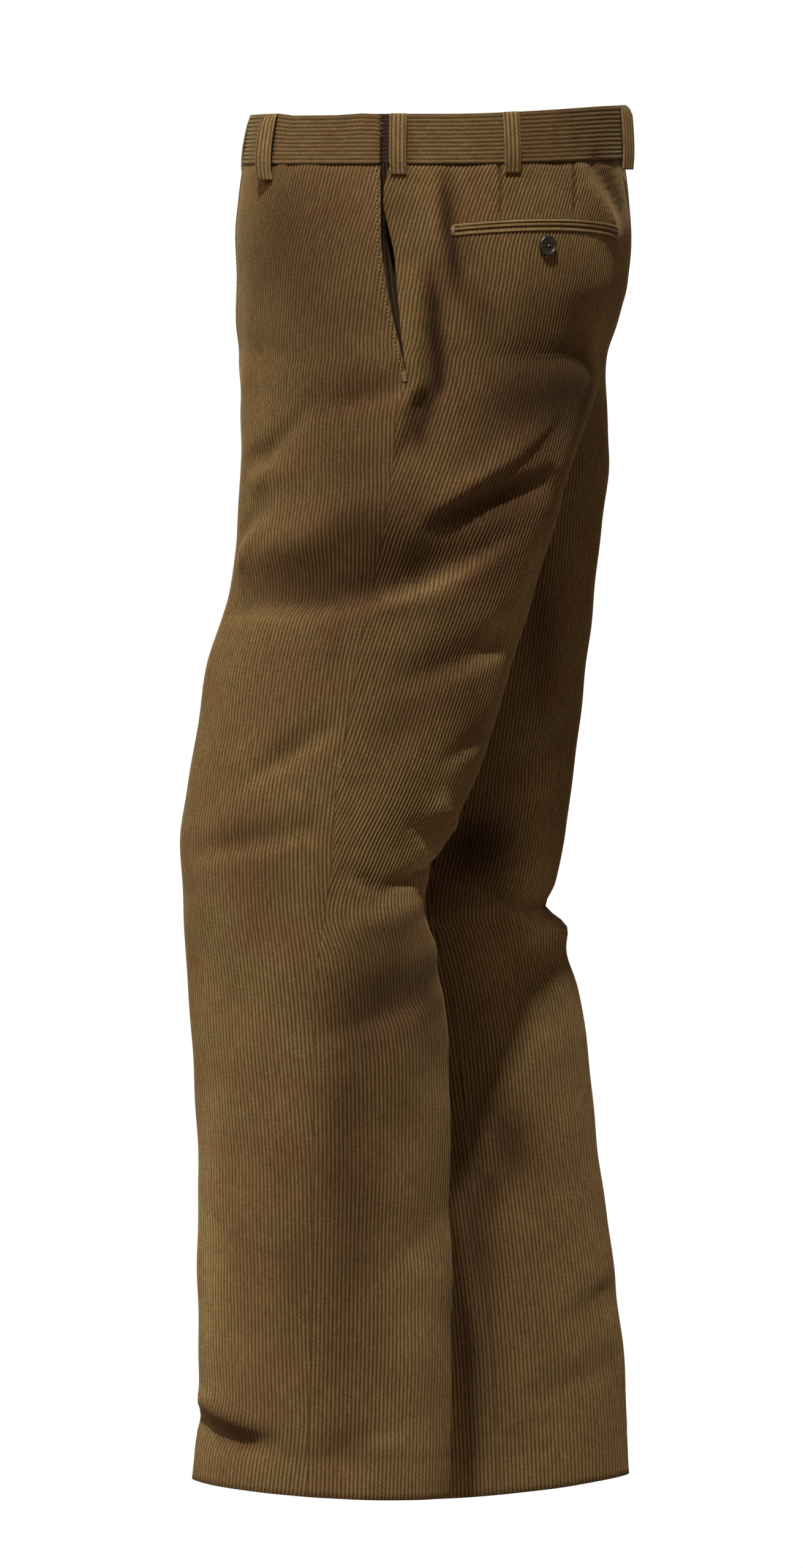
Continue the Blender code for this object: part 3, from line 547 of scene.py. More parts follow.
def cloth(leg, face, z, along, lift=0.0):
    """Points of one level's outer face at distances from the side seam, moved out by lift."""
    level = row(leg, face, z)
    cut = level.cut
    turn = np.interp(along, level.along, level.turns)
    x, y = outline(cut, turn)
    nx, ny = outward(cut, turn)
    apart = (row(OTHER[leg], face, z).edge_y - level.edge_y) / 2
    near_edge = ramp(along, level.to_crease, level.whole)
    y = y + apart * near_edge * ramp(z, CROTCH - EDGE_MATCH_FADE, CROTCH)
    off_seams = ramp(np.minimum(along, level.whole - along), 0.0, CALM_AT_SEAMS)
    away = lift + fold_height(leg, face, level, along, z)
    away = away + unevenness(leg, face, along, z) * off_seams
    height = z + waist_rise(y, z) + hem_slant(leg, cut, y, z)
    side = LEGS[leg]["side"]
    return np.stack((side * (x + nx * away + CENTRE_GAP / 2), y + ny * away, height), axis=-1)


def waist_rise(y, z):
    """The back of the waistband, and less so the seat below it, stands higher than the front."""
    along = np.clip((y - BACK_RISE_START) / BACK_RISE_RUN, 0.0, 1.2) ** BACK_RISE_POWER
    levels = (WAIST_SEAM - BACK_RISE_FADE, WAIST_SEAM, BAND_TOP)
    return BACK_RISE * along * np.interp(z, levels, (0.0, BACK_RISE_AT_SEAM, 1.0))


def hem_slant(leg, cut, y, z):
    """The hem isn't level: it drops towards the heel on the left leg and rises on the right."""
    bottom = hem_level(leg)
    return LEGS[leg]["hem_drop"] * ramp(z, HEM_DROP_START, bottom) * (y - cut.y) / cut.deep


def mouth_open(z):
    """How open the side pocket's mouth is at z: 0 at its ends, widest above its middle."""
    t = np.clip((z - MOUTH_BOTTOM) / (MOUTH_TOP - MOUTH_BOTTOM), 0, 1)
    return np.sin(np.pi * t ** 1.25) ** 1.5


def mouth_lift(face, z, along):
    """The front panel's mouth edge stands out and the back panel beside it sinks in."""
    return mouth_open(z) * soft_ridge(along, *MOUTH_EDGES[face])


def mouth_gap(z):
    """How far the side pocket's mouth gapes at z."""
    return flowing(MOUTH_GAPS, 1, z / MM) * MM


def panel_start(face, z):
    """Where a panel starts: at the side seam, and the back one behind it along the mouth."""
    return SEAM + (mouth_gap(z) if face == BACK else 0.0)


def grain(face, z):
    """How far the wales lean away from the crease line: they run up to the back at the hip."""
    return face * flowing(GRAIN, COLUMN[face], z / MM) * MM


def painted_shading(leg, face, level, along, z):
    """Painted light and shade in the cloth's colour: lighter on fold ridges, darker in hollows, and
    patches.
    """
    raised = fold_height(leg, face, level, along, z) / MM
    value = 1 + np.where(raised > 0, PAINTED_LIGHT_ON_RIDGES, PAINTED_SHADE_IN_HOLLOWS) * raised
    for tones, s in by_seam(PAINTED_LIGHT_AND_SHADE[leg], face, level, along):
        for s0, z0, reach_s, reach_z, change in tones:
            off = ((s / MM - s0) / reach_s) ** 2 + ((z / MM - z0) / reach_z) ** 2
            value *= 1 + change * np.exp(-off)
    return np.clip(value, *PAINTED_SHADING_LIMITS)


def sewn_marks(leg, face, z, s, whole):
    """Lines pressed into the cloth: the waist, the darts, the fly's lap, the hem's blind stitch."""
    bottom = hem_level(leg)
    mark = np.zeros_like(s) + soft_ridge(z - WAIST_SEAM, *WAIST_MARK)
    mark += soft_ridge(z - bottom - BLIND_HEM, *BLIND_HEM_MARK)
    if face == BACK:
        for top_s, foot_s, top, foot in DARTS:
            if z > foot:
                line = foot_s + (top_s - foot_s) * (z - foot) / (top - foot)
                mark += soft_ridge(s - line, *DART_MARK) * ramp(z, foot, foot + DART_FADE)
    else:
        edge = whole - FLY_WIDTH
        lap = ramp(s, edge - FLY_LAP_RISE, edge) * ramp(z, FLY_BOTTOM, FLY_BOTTOM + FLY_LAP_FADE)
        mark += lap * (FLY_LAP if leg == "left" else -FLY_LAP / 2)
    return mark


def rib_columns(widest_before, widest_after):
    """Offsets from the crease line, a few for each wale, and how deep the pile is at each."""
    wales = np.arange(-int(widest_before / WALE) - 2, int(widest_after / WALE) + 2)
    shares, depths = np.array(RIB).T
    offsets = (wales[:, None] + shares).ravel() * WALE
    return offsets, np.tile(depths * RIB_DEPTH + RIB_LIFT, len(wales))


def cloth_mesh(name, grids, materials):
    """One piece from grids, each with the number of its material.

    A grid is a list of rows, and a row holds its points and their places on the flat cut, which may
    have the painted light and shade of the cloth's colour as a third value.
    """
    shape = bmesh.new()
    places = shape.verts.layers.float_vector.new("flat")
    for grid, finish in grids:
        points, flat = (np.array(part) for part in zip(*grid))
        rows, columns = points.shape[:2]
        made = bmesh.ops.create_grid(shape, x_segments=columns - 1, y_segments=rows - 1, size=1.0)
        for vertex in made["verts"]:
            i = round((vertex.co.y + 1) / 2 * (rows - 1))
            j = round((vertex.co.x + 1) / 2 * (columns - 1))
            vertex.co = points[i, j]
            vertex[places] = (*flat[i, j], 1.0)[:3]
        for face in {face for vertex in made["verts"] for face in vertex.link_faces}:
            face.material_index = finish
    bmesh.ops.remove_doubles(shape, verts=shape.verts, dist=MERGE)
    bmesh.ops.dissolve_degenerate(shape, edges=shape.edges, dist=MERGE / 10)
    rims = [edge for edge in shape.edges if len(edge.link_faces) == 1]
    bmesh.ops.holes_fill(shape, edges=rims, sides=0)
    bmesh.ops.recalc_face_normals(shape, faces=shape.faces)
    bmesh.ops.triangulate(shape, faces=[face for face in shape.faces if len(face.verts) > 4])
    piece = from_bmesh(name, shape, materials)
    mesh = piece.data
    flat = np.zeros(len(mesh.vertices) * 3)
    mesh.attributes["flat"].data.foreach_get("vector", flat)
    corner = np.zeros(len(mesh.loops), dtype=int)
    mesh.loops.foreach_get("vertex_index", corner)
    mesh.uv_layers.new(name="cut").data.foreach_set("uv", flat.reshape(-1, 3)[corner, :2].ravel())
    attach(piece, "root")
    return piece


# Cotton corduroy: a cut pile of ribs on a twill ground. The pile is matt and catches a soft sheen
# at its tips, the ground between the ribs is coloured dark, partly its own colour and partly
# painted shade in the grooves, and rubbed places turn redder.
def corduroy(name, pile, ground, rubbed):
    made, tree = new_material(name)
    cut = add(tree, "UVMap", uv_map="cut")
    across = add(tree, "SeparateXYZ", {"Vector": cut})
    wales = add(tree, "Math", {0: across.outputs["X"], 1: 1 / WALE}, operation="MULTIPLY")
    from_ground = add(tree, "Math", {0: wales, 1: 0.5}, operation="PINGPONG")
    place = add(tree, "TexCoord")
    patches = add(tree, "TexNoise", {"Vector": place.outputs["Object"], "Scale": 17.0,
                                     "Detail": 3.0, "Roughness": 0.6})
    worn = add(tree, "MapRange", {"Value": patches.outputs["Fac"], "From Min": 0.44,
                                  "From Max": 0.68})
    pile_tint = add(tree, "Mix", {0: worn, 6: linear(pile), 7: linear(rubbed)}, data_type="RGBA")
    fine = add(tree, "Mapping", {"Vector": cut, "Scale": (1500.0, 520.0, 1.0)})
    fibres = add(tree, "TexNoise", {"Vector": fine, "Scale": 1.0, "Detail": 2.0, "Roughness": 0.7})
    ragged = add(tree, "Math", {0: fibres.outputs["Fac"], 1: 0.20, 2: from_ground},
                 operation="MULTIPLY_ADD")
    rib = add(tree, "MapRange", {"Value": ragged, "From Min": 0.10, "From Max": 0.51},
              interpolation_type="SMOOTHSTEP")
    long = add(tree, "Mapping", {"Vector": cut, "Scale": (300.0, 85.0, 1.0)})
    streaks = add(tree, "TexNoise", {"Vector": long, "Scale": 1.0, "Detail": 3.0,
                                     "Roughness": 0.65})
    speckle = add(tree, "MapRange", {"Value": fibres.outputs["Fac"], "From Min": 0.25,
                                     "From Max": 0.75, "To Min": 0.60, "To Max": 1.40})
    streak = add(tree, "MapRange", {"Value": streaks.outputs["Fac"], "From Min": 0.3,
                                    "From Max": 0.7, "To Min": 0.80, "To Max": 1.20})
    # Painted light and shade, kept as the third value of the flat attribute, scales the colour; red
    # is scaled a little less, so the painted shade comes out warmer.
    laid = add(tree, "Attribute", attribute_name="flat")
    painted_shading_here = add(tree, "SeparateXYZ", {"Vector": laid.outputs["Vector"]}).outputs["Z"]
    shade = add(tree, "Math", {0: speckle, 1: streak}, operation="MULTIPLY")
    tinted = add(tree, "Mix", {0: rib, 6: linear(ground), 7: pile_tint.outputs[2]},
                 data_type="RGBA")
    painted_shading_red = add(tree, "Math", {0: painted_shading_here, 1: 0.84}, operation="POWER")
    deep = add(tree, "CombineXYZ", {"X": painted_shading_red, "Y": painted_shading_here, "Z": painted_shading_here})
    uneven = add(tree, "VectorMath", {0: tinted.outputs[2], "Scale": shade}, operation="SCALE")
    colour = add(tree, "VectorMath", {0: uneven, 1: deep}, operation="MULTIPLY")
    nap = add(tree, "Bump", {"Height": fibres.outputs["Fac"], "Strength": 0.6, "Distance": 0.0003})
    finish_material(tree, add(tree, "BsdfPrincipled", {
        "Base Color": colour, "Roughness": 0.92, "Specular IOR Level": 0.1, "Sheen Weight": 0.28,
        "Sheen Roughness": 0.4, "Sheen Tint": linear("#d2bf8e"), "Normal": nap}))
    return made


# The wrong side of the corduroy, seen inside the waist and the hems: a plain brown cotton twill
# without pile, with a fine diagonal line every 0.8 mm.
def twill(name, thread, gap):
    made, tree = new_material(name)
    place = add(tree, "TexCoord")
    lines = add(tree, "TexWave", {"Vector": place.outputs["Object"], "Scale": 200.0,
                                  "Distortion": 0.6, "Detail": 2.0}, bands_direction="DIAGONAL")
    colour = add(tree, "Mix", {0: lines.outputs["Fac"], 6: linear(gap), 7: linear(thread)},
                 data_type="RGBA")
    weave = add(tree, "Bump", {"Height": lines.outputs["Fac"], "Strength": 0.3, "Distance": 0.0002})
    finish_material(tree, add(tree, "BsdfPrincipled", {
        "Base Color": colour.outputs[2], "Roughness": 0.9, "Specular IOR Level": 0.15,
        "Normal": weave}))
    return made


panel_corduroy = corduroy("corduroy_panels", "#735d3c", "#4b3518", "#6d5237")
wrong_side = twill("corduroy_wrong_side", "#6a5236", "#4b3923")


def sewn_panel(leg, face):
    """One panel of a leg: ribbed outside with its turn-up, and the plain wrong side inside it."""
    bottom = hem_level(leg)
    top = WAIST_SEAM - SEAM
    turn_up = np.linspace(bottom + HEM_TURN_UP, bottom, TURN_UP_ROWS)
    count = int(round((top - turn_up[0]) / ROW_STEP))
    levels = np.concatenate((np.linspace(top, turn_up[0], count + 1), turn_up[1:]))
    some = [row(leg, face, z) for z in levels[::6]]
    before = max(level.to_crease for level in some) + SPARE_COLUMNS[face]
    after = max(level.whole - level.to_crease for level in some) + SPARE_AT_EDGE
    offsets, depths = rib_columns(before, after)

    def outside(z, relief, layer):
        """One row of the outer cloth, its ribs scaled by relief and all of it moved by layer."""
        level = row(leg, face, z)
        crease = level.to_crease + grain(face, z)
        low, high = panel_start(face, z), level.whole - SEAM
        held = np.clip(crease + offsets, low + SEAM_ROLL, high - SEAM_ROLL)
        marks = sewn_marks(leg, face, z, held, level.whole)
        lift = np.where(held == crease + offsets, depths, PRESSED) * relief + layer
        lift = lift + mouth_lift(face, z, held) + marks
        edges = mouth_lift(face, z, np.array([low, high])) - WALL
        held = np.concatenate(([low], held, [high]))
        lift = np.concatenate((edges[:1], lift, edges[1:]))
        # Painted shade along the sewn lines pressed into the cloth, darker where they sink deeper.
        pressed = 1 + MARK_SHADE * np.pad(np.minimum(marks, 0), 1, mode="edge")
        flat = np.stack((held - crease, np.full_like(held, z),
                         painted_shading(leg, face, level, held, z) * pressed), -1)
        return cloth(leg, face, z, held, lift), flat

    outer = [outside(z, 1.0, 0.0) for z in levels]
    for sink, layer in HEM_ROLL:
        points, flat = outside(bottom, HEM_ROLL_RELIEF, layer)
        points[:, 2] -= sink
        outer.append((points, flat))
    outer += [outside(z, TURN_UP_RELIEF, TURN_UP_LAYER) for z in turn_up[::-1]]
    for (points, _), z in zip(outer[len(levels):], (bottom, bottom, *turn_up[::-1])):
        points[[0, -1]] = outer[list(levels).index(z)][0][[0, -1]]

    inner = []
    for z in levels[:count + 1]:
        held = np.linspace(panel_start(face, z), row(leg, face, z).whole - SEAM, INSIDE_COLUMNS)
        inner.append((cloth(leg, face, z, held, mouth_lift(face, z, held) - WALL),
                      np.stack((held, np.full_like(held, z)), -1)))
    name = f"{leg}_{'front' if face == FRONT else 'back'}"
    piece = cloth_mesh(f"{name}_cloth", ((outer, 0), (inner, 1)), (panel_corduroy, wrong_side))
    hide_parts(name)
    return piece


panels = {(leg, face): sewn_panel(leg, face) for leg in LEGS for face in (FRONT, BACK)}


# ----------------------------------------------------------
# Waistband: a doubled strip of the same corduroy with its wales running round, in two front
# halves and one back. It is sewn on over the panels' tops, and the back band's ends step in
# behind the folded ends of the front bands.
BAND_WALL = 0.0030
BAND_LIFT = 0.0008
BAND_END_TUCK = 0.020
BAND_END_STEP = 0.0060
BAND_END_GAP = 0.0076
BAND_WALES = 12
BAND_EDGE = 0.0006
BAND_RIB_DEPTH = 0.0006
BAND_RIB_LIFT = 0.0002
FRONT_BAND_COLUMNS = 70
FRONT_BAND_ENDS = 0.0030
FRONT_BAND_CORNER = (0.0, 0.0003, 0.0012)
FRONT_BAND_ROLL = (-0.0012, -0.0004, 0.0, 0.0, -0.0004, -0.0008)
FRONT_BAND_RISE = (
    # distance from the side, how much higher the band's top stands there
    (0.0, -0.0018), (0.0016, -0.0002), (0.0150, 0.0003), (0.0350, -0.0010), (0.0800, -0.0012),
    (0.0980, 0.0005), (0.1500, 0.0),
)
RIGHT_PUCKER = 0.6
BACK_BAND_COLUMNS = 72
BACK_BAND_START = 0.045
TUCKED_COLUMNS = 7


def band_profile():
    """Round the band's section: height, depth from its face, and distance across the wales."""
    pitch = (BAND_TOP - WAIST_SEAM - BAND_EDGE) / BAND_WALES
    face = [(WAIST_SEAM + BAND_EDGE / 2 + (i + share) * pitch,
             depth * BAND_RIB_DEPTH + BAND_RIB_LIFT, (i + share) * WALE)
            for i in range(BAND_WALES) for share, depth in RIB]
    over = [(BAND_TOP - 0.0004, 0.0, 0.0384), (BAND_TOP, -0.0008, 0.0393),
            (BAND_TOP, -0.0020, 0.0405), (BAND_TOP - 0.0006, -BAND_WALL, 0.0414)]
    inside = [(z, -BAND_WALL, BAND_TOP - z + 0.041) for z in (0.010, 0.0, -0.010)]
    under = [(WAIST_SEAM - 0.0002, -BAND_WALL, 0.080), (WAIST_SEAM - 0.0002, -0.0008, 0.0822)]
    return under[1:] + face + over + inside + under


def band_piece(name, columns, parts=((None, None, 0),)):
    """A band from its columns: leg, panel, share of its width, s, lift, distance along, rise.

    Parts are its runs of columns: start, end, and 0 for the ribbed face or 1 for a tucked-in end.
    """
    profile = band_profile()
    points = np.zeros((len(profile), len(columns), 3))
    flat = np.zeros((len(profile), len(columns), 2))
    flat[:, :, 1] = [column[5] for column in columns]
    rise = np.array([column[6] for column in columns])
    for i, (z, depth, across) in enumerate(profile):
        for leg, face in panels:
            chosen = [j for j, column in enumerate(columns) if column[:2] == (leg, face)]
            if chosen:
                whole = row(leg, face, z).whole
                share, s, lift, *_ = np.array([columns[j][2:] for j in chosen]).T
                points[i, chosen] = cloth(leg, face, z, share * whole + s, BAND_LIFT + lift + depth)
        points[i, :, 2] += rise * ramp(z, WAIST_SEAM, BAND_TOP)
        flat[i, :, 0] = across
    grids = [(list(zip(points[:, start:end], flat[:, start:end])), finish)
             for start, end, finish in parts]
    piece = cloth_mesh(f"{name}_cloth", grids, (band_corduroy, tucked_end))
    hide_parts(name)


def pucker(along):
    """The band is not quite even: it draws in where it is stitched and swells in between."""
    return (0.00045 * np.sin(along * 75) + 0.0003 * np.sin(along * 173 + 1)
            + soft_ridge(along - 0.086, -0.0016, 0.0035))


def front_band(leg):
    whole = row(leg, FRONT, 0.0).whole
    corner = np.array(FRONT_BAND_CORNER)
    corners = np.concatenate((corner, whole - corner[::-1]))
    middle = np.linspace(FRONT_BAND_ENDS, whole - FRONT_BAND_ENDS, FRONT_BAND_COLUMNS)
    along = np.insert(corners, len(corner), middle)
    along[[0, -1]] = SEAM, whole - SEAM
    lift = np.interp(along, corners, FRONT_BAND_ROLL)
    lift += pucker(along) * (1.0 if leg == "left" else RIGHT_PUCKER)
    rise = np.interp(along, *np.transpose(FRONT_BAND_RISE))
    columns = [(leg, FRONT, s / whole, 0.0, out, s, up) for s, out, up in zip(along, lift, rise)]
    band_piece(f"waistband_front_{leg}", columns)


def back_band():
    tuck = [(FRONT, 0.0, s, -BAND_END_STEP) for s in (BAND_END_TUCK, 0.012, 0.004)]
    tuck += [(BACK, 0.0, s, -BAND_END_STEP) for s in (0.0, 0.004, BAND_END_GAP - 0.0016)]
    tuck += [(BACK, 0.0, BAND_END_GAP - short, lift)
             for short, lift in ((0.0011, -0.0022), (0.0007, -0.0008), (0.0, -0.0001))]
    run = [(BACK, share, 0.0, 0.0)
           for share in np.linspace(BACK_BAND_START, 1.0, BACK_BAND_COLUMNS)]
    halves = []
    for leg in LEGS:
        whole = row(leg, BACK, 0.0).whole
        half = []
        for face, share, s, lift in tuck + run:
            here = share * whole + (s if face == BACK else -s)
            swell = pucker(here + 0.3) if here > 0.02 else 0.0
            half.append((leg, face, share, s, lift + swell * ramp(-here, -whole, -whole + 0.01),
                         here if leg == "left" else 2 * whole - here, 0.0))
        halves.append(half)
    left, right = halves
    inner = TUCKED_COLUMNS
    band_piece("waistband_back", left + right[-2::-1],
               ((None, inner, 1), (inner - 1, 1 - inner, 0), (-inner, None, 1)))


band_corduroy = corduroy("corduroy_waistband", "#6a5639", "#4a3519", "#644c34")
# The band's end tucked in behind the front one: the same cloth, dark because no light reaches it.
tucked_end = twill("tucked_band_end", "#40301f", "#241a12")
for leg in LEGS:
    front_band(leg)
back_band()

# ----------------------------------------------------------
# Belt loops: a strip folded to three wales wide, sewn flat at the band's top and again below the
# band. Between the two it stands off far enough for a belt.
LOOP_PLACES = (
    # name, leg, s at the top, s at the bottom, foot, stand-off, tilt of its front and back edge
    ("front_left", "left", -0.1005, -0.1040, -0.0310, 1.0, 0.0050, 0.0),
    ("side_left", "left", 0.0142, 0.0142, -0.0270, 1.0, 0.0, 0.0),
    ("back_left", "left", 0.0990, 0.1010, -0.0265, 1.0, 0.0, 0.0),
    ("centre_back", "left", 0.2500, 0.2530, -0.0270, 0.62, 0.0, 0.0062),
    ("back_right", "right", 0.1010, 0.1020, -0.0290, 1.0, 0.0, 0.0),
    ("side_right", "right", 0.0142, 0.0142, -0.0295, 1.0, 0.0, 0.0),
    ("front_right", "right", -0.182, -0.186, -0.0320, 1.2, 0.0010, 0.0),
)
LOOP_LINE = (
    # share of the way down, air under the loop
    (0.0, 0.0010), (0.012, 0.0014), (0.06, 0.0023), (0.16, 0.0030), (0.32, 0.0036), (0.50, 0.0039),
    (0.66, 0.0037), (0.80, 0.0030), (0.89, 0.0020), (0.95, 0.0011), (0.985, 0.0008), (1.0, 0.0007),
)
LOOP_TOP = 0.0193
LOOP_HALF = (
    # across, height, in millimetres: folded edge, one wale and half of the middle one
    (-5.5, 0.0), (-6.1, 0.3), (-6.3, 0.9), (-6.1, 1.5), (-5.6, 1.8), (-5.1, 1.7), (-4.76, 1.4),
    (-4.2, 1.65), (-3.18, 1.9), (-2.1, 1.65), (-1.59, 1.35), (-1.0, 1.65), (0.0, 1.9),
)
LOOP_PROFILE = LOOP_HALF + tuple((-s, h) for s, h in LOOP_HALF[-2::-1]) + ((0.0, 0.0), (-5.5, 0.0))
LOOP_END_HEIGHT = 0.80
LOOP_END_WIDTH = 0.985


def over_cloth(leg, s, z, lift):
    """Points at the places s of one level, whichever panels they are on, moved out by lift."""
    s, lift = np.broadcast_arrays(np.asarray(s, dtype=float), lift)
    to_middle = row(leg, BACK, z).whole
    past = s > to_middle
    points = np.zeros((len(s), 3))
    for chosen, side, face, along in (
        (s < 0, leg, FRONT, -s), ((s >= 0) & ~past, leg, BACK, s),
        (past, OTHER[leg], BACK, 2 * to_middle - s),
    ):
        if chosen.any():
            shape = mouth_lift(face, z, along[chosen]) * (z < WAIST_SEAM)
            points[chosen] = cloth(side, face, z, along[chosen], lift[chosen] + shape)
    return points


def belt_loop(name, leg, s_top, s_bottom, foot, stand_off, front_tilt, back_tilt):
    across, height = np.array(LOOP_PROFILE).T * MM
    swing = np.interp(across, (-0.006, 0.006), (front_tilt, back_tilt))
    grid = []
    for share, air in LOOP_LINE:
        z = LOOP_TOP + (foot - LOOP_TOP) * share
        middle = s_top + (s_bottom - s_top) * share
        thin, narrow = (LOOP_END_HEIGHT, LOOP_END_WIDTH) if share in (0.0, 1.0) else (1.0, 1.0)
        lift = height * thin + air * stand_off + swing * min(1.0, 6 * share + 0.4)
        grid.append((over_cloth(leg, middle + across * narrow, z, lift),
                     np.stack((across + WALE / 2, np.full_like(across, z)), -1)))
    piece = cloth_mesh(f"belt_loop_{name}_cloth", ((grid, 0),), (trim_corduroy,))
    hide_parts(f"belt_loop_{name}")


# The trim's copy is coloured lighter than the panels': painted light for the light the raised belt
# loops catch. The back pockets' jets use it too.
trim_corduroy = corduroy("corduroy_trim", "#7b6644", "#4a3419", "#73593c")
for place in LOOP_PLACES:
    belt_loop(*place)

# ----------------------------------------------------------
# Side pockets: the mouth is left open in the side seam. A strip of the same corduroy faces it
# from behind, the front panel's edge is turned in and top-stitched 3 mm from its fold, and a
# bar of close stitches holds its lower end.
FACING_START = 0.0135
FACING_WIDTH = 0.034
FACING_WALL = 0.0014
FACING_TOP = -0.0180
FACING_BOTTOM = -0.196
FACING_LIFT = -0.0034
FACING_DIP = 0.0120
FACING_RIBS = 0.7
FACING_ROWS = 44


def pocket_facing(leg):
    columns = np.arange(FACING_START, -FACING_WIDTH, -WALE / 4)
    depths = FACING_RIBS * RIB_DEPTH * np.abs(((columns / WALE) % 1) - 0.5) * -2
    across = np.concatenate((columns, columns[::-4], columns[:1]))
    grid = []
    for z in np.linspace(FACING_TOP, FACING_BOTTOM, FACING_ROWS):
        gap = mouth_gap(z)
        sunk = mouth_open(z) * ramp(-across, -gap - 0.004, -gap + 0.002)
        lift = FACING_LIFT - sunk * soft_ridge(np.minimum(across, 0), FACING_DIP, FACING_WIDTH)
        lift[:len(columns)] += depths
        lift[len(columns):-1] -= FACING_WALL
        grid.append((over_cloth(leg, across, z, lift),
                     np.stack((across, np.full_like(across, z)), -1)))
    piece = cloth_mesh(f"side_pocket_facing_{leg}_cloth", ((grid, 0),), (shaded_corduroy,))
    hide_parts(f"side_pocket_facing_{leg}")


# The same corduroy coloured much darker: painted shade for the inside of the pocket's mouth.
shaded_corduroy = corduroy("corduroy_pocket_facing", "#3a291b", "#150e09", "#35251a")
for leg in LEGS:
    pocket_facing(leg)


# Sewing thread: spun polyester, dyed to the cloth, a little lighter than the pile.
def thread_material(name, colour):
    made, tree = new_material(name)
    place = add(tree, "TexCoord")
    twist = add(tree, "TexWave", {"Vector": place.outputs["Object"], "Scale": 700.0,
                                  "Distortion": 1.0}, bands_direction="DIAGONAL")
    dark = [channel * 0.7 for channel in linear(colour)[:3]] + [1.0]
    tint = add(tree, "Mix", {0: twist.outputs["Fac"], 6: dark, 7: linear(colour)}, data_type="RGBA")
    finish_material(tree, add(tree, "BsdfPrincipled",
                              {"Base Color": tint.outputs[2], "Roughness": 0.6}))
    return made


brown_thread = thread_material("brown_thread", "#806a48")


def stitches(name, ends, thick):
    """Short stitches as one piece, each between a pair of points."""
    shape = bmesh.new()
    for start, end in ends:
        start, end = Vector(start), Vector(end)
        turn = (end - start).to_track_quat("X", "Z").to_matrix().to_4x4()
        size = Matrix.Diagonal(((end - start).length / 2, thick, thick, 1.0))
        bmesh.ops.create_icosphere(shape, subdivisions=1, radius=1.0,
                                   matrix=Matrix.Translation((start + end) / 2) @ turn @ size)
    piece = from_bmesh(name, shape, (brown_thread,))
    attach(piece, "root")


def sewn_line(leg, places, lift):
    """Stitches between each two of a row of places (s, z) on the cloth."""
    points = [over_cloth(leg, [s], z, lift)[0] for s, z in places]
    return list(zip(points[::2], points[1::2]))


def along_line(start, end):
    """Places (s, z) of the stitches' ends along a straight line."""
    (s0, z0), (s1, z1) = start, end
    count = max(1, int(np.hypot(s1 - s0, z1 - z0) / STITCH_PITCH))
    shares = np.ravel([(i, i + STITCH_SHARE) for i in range(count)]) / count
    return [(s0 + (s1 - s0) * t, z0 + (z1 - z0) * t) for t in shares]


STITCH_PITCH = 0.0031
STITCH_SHARE = 0.72
THREAD = 0.00045
FINE_THREAD = 0.00024
TOP_STITCH_S = -0.0030
BAR_STEP = 0.0008
BAND_END_THREADS = (
    # height, slant and reach of the loose threads at the front band's folded end
    (0.0128, -0.0010, 0.0020), (0.0109, 0.0012, 0.0027), (0.0090, -0.0006, 0.0018),
    (0.0071, 0.0009, 0.0030), (0.0048, -0.0013, 0.0021), (0.0019, 0.0007, 0.0024),
)

for leg in LEGS:
    edge = along_line((TOP_STITCH_S, MOUTH_TOP - 0.003), (TOP_STITCH_S, MOUTH_BOTTOM + 0.002))
    bar = [(s, MOUTH_BOTTOM + dz)
           for dz in np.arange(-0.004, 0.003, BAR_STEP) for s in (-0.0042, 0.0012)]
    mouth = sewn_line(leg, edge, 0.0003) + sewn_line(leg, bar, 0.0006)
    stitches(f"side_pocket_stitches_{leg}", mouth, THREAD)
    whip = [(s, z) for z0, slant, reach in BAND_END_THREADS
            for s, z in ((-0.0005, z0), (reach, z0 + slant))]
    stitches(f"band_end_threads_{leg}", sewn_line(leg, whip, 0.0004), FINE_THREAD)

# ----------------------------------------------------------
# Back pockets: two jets of corduroy, wales running along them, meet at the slit. The upper one
# is two wales high, the lower one a narrow lip. Their ends are held by short bars of stitches.
POCKET_START = 0.0545
POCKET_END = 0.2155
POCKET_Z = -0.0675
POCKET_BOW = 0.0050
POCKET_SLANT = 0.0020
JET_RIB_DEPTH = 0.0006
JET_STATIONS = 56
JETS = {
    # lower and upper edge from the slit, rise, wales
    "upper": (0.0003, 0.0064, 0.0012, 2),
    "lower": (-0.0036, -0.0003, 0.0011, 1),
}


def pocket_line(s):
    """Height of the back pocket's slit at s."""
    t = (2 * s - POCKET_START - POCKET_END) / (POCKET_END - POCKET_START)
    return POCKET_Z - POCKET_BOW * t ** 2 - POCKET_SLANT * t


def pocket_jet(name, leg):
    low, high, rise, wales = JETS[name]
    over = np.linspace(0.0, 1.0, 8 * wales + 1)
    crown = rise * np.sqrt(np.clip(1 - np.abs(2 * over - 1) ** 3.0, 0.04, 1))
    between = (np.abs((over * wales) % 1 - 0.5) > 0.36) * (over > 0.05) * (over < 0.95)
    crown -= JET_RIB_DEPTH * between
    profile = list(zip(low + (high - low) * over, crown, over * wales * WALE))
    profile += [(high, 0.0002, 0.0), (low, 0.0002, 0.0), profile[0]]
    ends = np.array([0.0, 0.0006, 0.0016])
    length = POCKET_END - POCKET_START
    grid = []
    for along in (*ends, *np.linspace(0.004, length - 0.004, JET_STATIONS), *(length - ends[::-1])):
        s = POCKET_START + along
        pinch = np.interp(min(along, length - along), (0, ends[-1]), (0.35, 1.0))
        grid.append(([over_cloth(leg, [s], pocket_line(s) + dz, lift * pinch)[0]
                      for dz, lift, _ in profile], [(across, s) for _, _, across in profile]))
    piece = cloth_mesh(f"back_pocket_{name}_jet_{leg}_cloth", ((grid, 0),), (trim_corduroy,))
    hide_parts(f"back_pocket_{name}_jet_{leg}")


